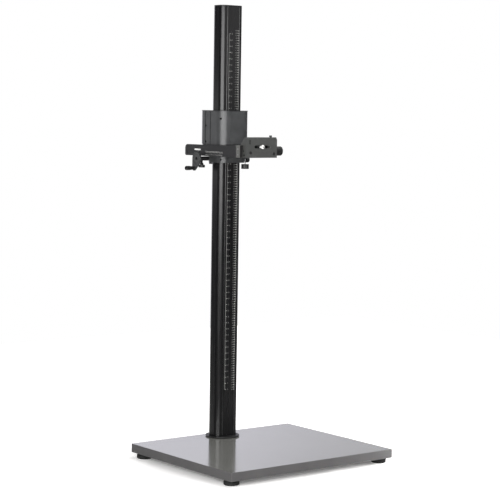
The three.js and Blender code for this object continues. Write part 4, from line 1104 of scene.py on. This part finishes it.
def cross_rod(name, left, right, centre, radius, sides):
    """A rod across the carriage; its centre is a distance behind the column's axis and a height."""
    return rod(name, on_carriage(left, *centre), on_carriage(right, *centre), radius, sides)


def centre_of(node):
    low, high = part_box(node)
    return (low.y + high.y) / 2 / MM - AXIS_Y, (low.z + high.z) / 2 / MM - CARRIAGE_Z


shaft, tip = centre_of("crank_sleeve"), centre_of("crank_handle")
outer_x, inner_x = CRANK["face"], CRANK["face"] + CRANK["thick"]
print("crank radius", round(math.dist(shaft, tip), 2), "mm")
crank = join(
    cross_rod("crank_plate", outer_x, inner_x, shaft, CRANK["hub"], 96),
    cross_rod("crank_tip", outer_x, inner_x, tip, CRANK["tip"], 64),
)
with editing(crank):
    bpy.ops.mesh.select_all(action="SELECT")
    bpy.ops.mesh.convex_hull()
    bpy.ops.mesh.select_all(action="SELECT")
    bpy.ops.mesh.dissolve_limited(angle_limit=math.radians(0.5))
recess = cross_rod("recess_cutter", outer_x - 2, outer_x + 1.4, shaft, 22, 96)
bore = cross_rod("bore_cutter", outer_x - 6, inner_x + 7, shaft, 6.1, 48)
cut_away(crank, recess, bore)
soften(crank, 1.1, 3, 40)
crank_boss = turned(
    "crank_boss", on_carriage(inner_x, *shaft), "X",
    rounded_profile([(6.2, 0), (13, 0), (13, 2), (6.2, 2), (6.2, 0)], 0.5, 2), 64,
)
smooth(crank_boss, 40)
hand_over(crank, "crank", casting_paint, "grey_aluminium", "crank_arm")
hand_over(crank_boss, "crank", casting_paint, "grey_aluminium")

# %% Handle and its pin
handle_start = on_carriage(outer_x - 0.4, *tip)
outline = [
    (3.9, 0), (6.2, 0), (6.2, -3), (7.4, -4.5), (7.8, -13), (9, -22), (9, -36), (8.2, -39.4),
    (5.9, -40), (5.9, -36.6), (3.9, -36.6), (3.9, 0),
]
handle = turned("crank_grip", handle_start, "X", rounded_profile(outline, 1.4, 4), 64)
smooth(handle, 40)
hand_over(handle, "handle", black_nylon, "black_plastic", "crank_handle")
pin_place, pin_length = low_end("handle_pin", "X")
outline = [
    (0, 0.4), (2.2, 0.4), (2.8, 0), (4.8, 0), (5.4, 0.5), (5.4, 2.9), (3.5, 2.9), (3.5, pin_length),
    (0, pin_length),
]
pin = turned("crank_grip_pin", pin_place, "X", rounded_profile(outline, 0.4, 2), 48)
smooth(pin, 40)
hand_over(pin, "crank", blackened_steel, "bright_steel", "handle_pin")

# %% [markdown]
# The crank's shaft runs to the gear case in a long black sleeve, a turned tube with a collar at
# its free end. The cover that closes the gear case at the back is a plate with four screws.

# %% Sleeve and gear case cover
sleeve_place, sleeve_length = low_end("crank_sleeve", "X")
outline = [
    (7.9, 0), (9, 0), (9, 6), (8.6, 6.6), (8.6, 30), (9, 30.6), (9, sleeve_length),
    (7.9, sleeve_length), (7.9, 0),
]
sleeve = turned("crank_shaft_sleeve", sleeve_place, "X", rounded_profile(outline, 0.4, 2), 64)
smooth(sleeve, 40)
hand_over(sleeve, "carriage", rail_anodised, "black_anodised", "crank_sleeve")
cover = refined("gear_case_cover", "gear_case_plate")
cut_away(cover, block("case_cutter", *UNDER_CASE))
soften(cover, 0.8, 3)
hand_over(cover, "carriage", dark_paint, "dark_painted", "gear_case_cover")
for x in (-15, 15):
    for z in (-4.5, 21):
        name = f"cover_screw_{'left' if x < 0 else 'right'}_{'low' if z < 0 else 'high'}"
        socket_screw(name, on_carriage(x, 87.2, z), Vector((0, 1, 0)), 2.6, 1.8, "carriage", zinc_steel)

# %% [markdown]
# The floor and the white room. The photograph has a pure white ground with only a soft shadow close
# to the board. The floor is white paint, and what the camera sees of it gets a little light of its
# own, which grows away from the stand, so the ground is white and the near shadow stays. A mirror
# ray sees white only towards the sweep behind the stand, and nearly black elsewhere, as in a dark
# studio. The world follows the same rule, is white to the camera, and is a plain grey as a light.

# %% Floor
SWEEP_WAY = (0.191, 0.982, 0.0)
SWEEP_EDGE = {"From Min": 0.79, "From Max": 0.885}
clear_selection()
bpy.ops.mesh.primitive_plane_add(size=7, location=(0, 0, stand_low.z))
studio_floor = bpy.context.object
studio_floor.name = "studio_floor"
floor_white = bpy.data.materials.new("white_floor_paint")
floor_white.use_nodes = True
tree = floor_white.node_tree
tree.nodes.clear()
place = add_node(tree, "ShaderNodeTexCoord").outputs["Object"]
patches = add_node(tree, "ShaderNodeTexNoise", {"Vector": place, "Scale": 2.0, "Detail": 1})
sockets = {"Value": patches.outputs["Fac"], **NOISE_MIDDLE, "To Min": 0.0, "To Max": 1.0}
share = add_node(tree, "ShaderNodeMapRange", sockets).outputs["Result"]
sockets = {0: share, 6: colour("#f0efee"), 7: colour("#f4f3f2")}
white = add_node(tree, "ShaderNodeMix", sockets, data_type="RGBA").outputs[2]
paint = add_node(tree, "ShaderNodeBsdfPrincipled", {"Base Color": white, "Roughness": 0.9})

rays = add_node(tree, "ShaderNodeLightPath").outputs
sockets = {0: rays["Is Glossy Ray"], 1: rays["Is Transmission Ray"]}
mirrored = add_node(tree, "ShaderNodeMath", sockets, operation="MAXIMUM").outputs[0]
apart = add_node(tree, "ShaderNodeVectorMath", {0: place}, operation="LENGTH").outputs["Value"]
sockets = {"Value": apart, "From Min": 0.45, "From Max": 0.85, "To Min": 0.14, "To Max": 1.0}
lift = add_node(tree, "ShaderNodeMapRange", sockets).outputs["Result"]
outwards = add_node(tree, "ShaderNodeVectorMath", {0: place}, operation="NORMALIZE").outputs[0]
sockets = {0: outwards, 1: SWEEP_WAY}
behind = add_node(tree, "ShaderNodeVectorMath", sockets, operation="DOT_PRODUCT").outputs["Value"]
sockets = {"Value": behind, **SWEEP_EDGE, "To Min": 0.0, "To Max": 1.0}
swept = add_node(tree, "ShaderNodeMapRange", sockets).outputs["Result"]
shaded = add_node(tree, "ShaderNodeMath", {0: 1.0, 1: swept}, operation="SUBTRACT").outputs[0]
for factor in (mirrored, 0.85):
    sockets = {0: shaded, 1: factor}
    shaded = add_node(tree, "ShaderNodeMath", sockets, operation="MULTIPLY").outputs[0]
swept = add_node(tree, "ShaderNodeMath", {0: swept, 1: mirrored}, operation="MULTIPLY").outputs[0]
unlit = add_node(tree, "ShaderNodeBsdfDiffuse", {"Color": colour("#101010")}).outputs[0]
paint = add_node(tree, "ShaderNodeMixShader", {0: shaded, 1: paint.outputs[0], 2: unlit})
sockets = {0: swept, 1: rays["Is Camera Ray"]}
seen = add_node(tree, "ShaderNodeMath", sockets, operation="MAXIMUM").outputs[0]
strength = add_node(tree, "ShaderNodeMath", {0: lift, 1: seen}, operation="MULTIPLY")
sockets = {"Color": (1, 1, 1, 1), "Strength": strength.outputs[0]}
glow = add_node(tree, "ShaderNodeEmission", sockets)
both = add_node(tree, "ShaderNodeAddShader", {0: paint.outputs[0], 1: glow.outputs[0]})
add_node(tree, "ShaderNodeOutputMaterial", {"Surface": both.outputs[0]})
studio_floor.data.materials.append(floor_white)

# %% World
ROOM_LIGHT, ROOM_DARK = 0.3, 0.06
world = bpy.data.worlds.new("white_room")
bpy.context.scene.world = world
world.use_nodes = True
tree = world.node_tree
tree.nodes.clear()
rays = add_node(tree, "ShaderNodeLightPath").outputs
sockets = {0: rays["Is Glossy Ray"], 1: rays["Is Transmission Ray"]}
mirrored = add_node(tree, "ShaderNodeMath", sockets, operation="MAXIMUM").outputs[0]
sockets = {0: add_node(tree, "ShaderNodeTexCoord").outputs["Generated"], 1: SWEEP_WAY}
facing = add_node(tree, "ShaderNodeVectorMath", sockets, operation="DOT_PRODUCT").outputs["Value"]
bounds = {"To Min": ROOM_DARK - ROOM_LIGHT, "To Max": 1.0 - ROOM_LIGHT}
sweep = add_node(tree, "ShaderNodeMapRange", {"Value": facing, **SWEEP_EDGE, **bounds})
sockets = {0: sweep.outputs["Result"], 1: mirrored, 2: ROOM_LIGHT}
shown = add_node(tree, "ShaderNodeMath", sockets, operation="MULTIPLY_ADD").outputs[0]
sockets = {0: shown, 1: rays["Is Camera Ray"]}
whole = add_node(tree, "ShaderNodeMath", sockets, operation="MAXIMUM").outputs[0]
sockets = {0: mirrored, 6: colour("#ffffff"), 7: colour("#f5f4ff")}
tint = add_node(tree, "ShaderNodeMix", sockets, data_type="RGBA").outputs[2]
room = add_node(tree, "ShaderNodeBackground", {"Color": tint, "Strength": whole})
add_node(tree, "ShaderNodeOutputWorld", {"Surface": room.outputs[0]})
bpy.context.scene.view_settings.view_transform = "Standard"

# %% [markdown]
# The lamps. A wide softbox stands to the left of the camera: its reflection is the broad bright
# band on the housing's and the column's near corner. A large overhead box from the right lights the
# board evenly. Weak ones at the front right and at the rear keep the other faces readable, and
# a small one near the board's front corner lights its side without showing in any reflection.


# %% Softboxes
def softbox(name, azimuth, distance, height, width, tall, watts, target=(0, 0.15, 0.9)):
    data = bpy.data.lights.new(name, "AREA")
    data.shape = "RECTANGLE"
    data.size, data.size_y = width, tall
    data.energy = watts
    lamp = bpy.data.objects.new(name, data)
    a = math.radians(azimuth)
    lamp.location = (math.sin(a) * distance, -math.cos(a) * distance, height)
    aim = Vector(target) - lamp.location
    lamp.rotation_euler = aim.to_track_quat("-Z", "Y").to_euler()
    bpy.context.scene.collection.objects.link(lamp)
    return lamp


softbox("key_softbox", -52.5, 3.6, 1.4, 4.4, 1.4, 162, (0, 0.2, 1.3))
softbox("overhead_softbox", 90, 1.6, 3.9, 3.4, 3.4, 100, (0, 0, 0.3))
softbox("front_fill", 24, 3.6, 2.0, 4.0, 1.3, 14, (0, 0.2, 1.4))
softbox("rear_fill", -142, 3.6, 1.2, 1.8, 0.5, 3, (0, 0.2, 1.3))
low_fill = softbox("low_fill", 64, 1.05, 0.1, 0.4, 0.3, 16, (0.41, -0.34, 0))
low_fill.visible_glossy = False
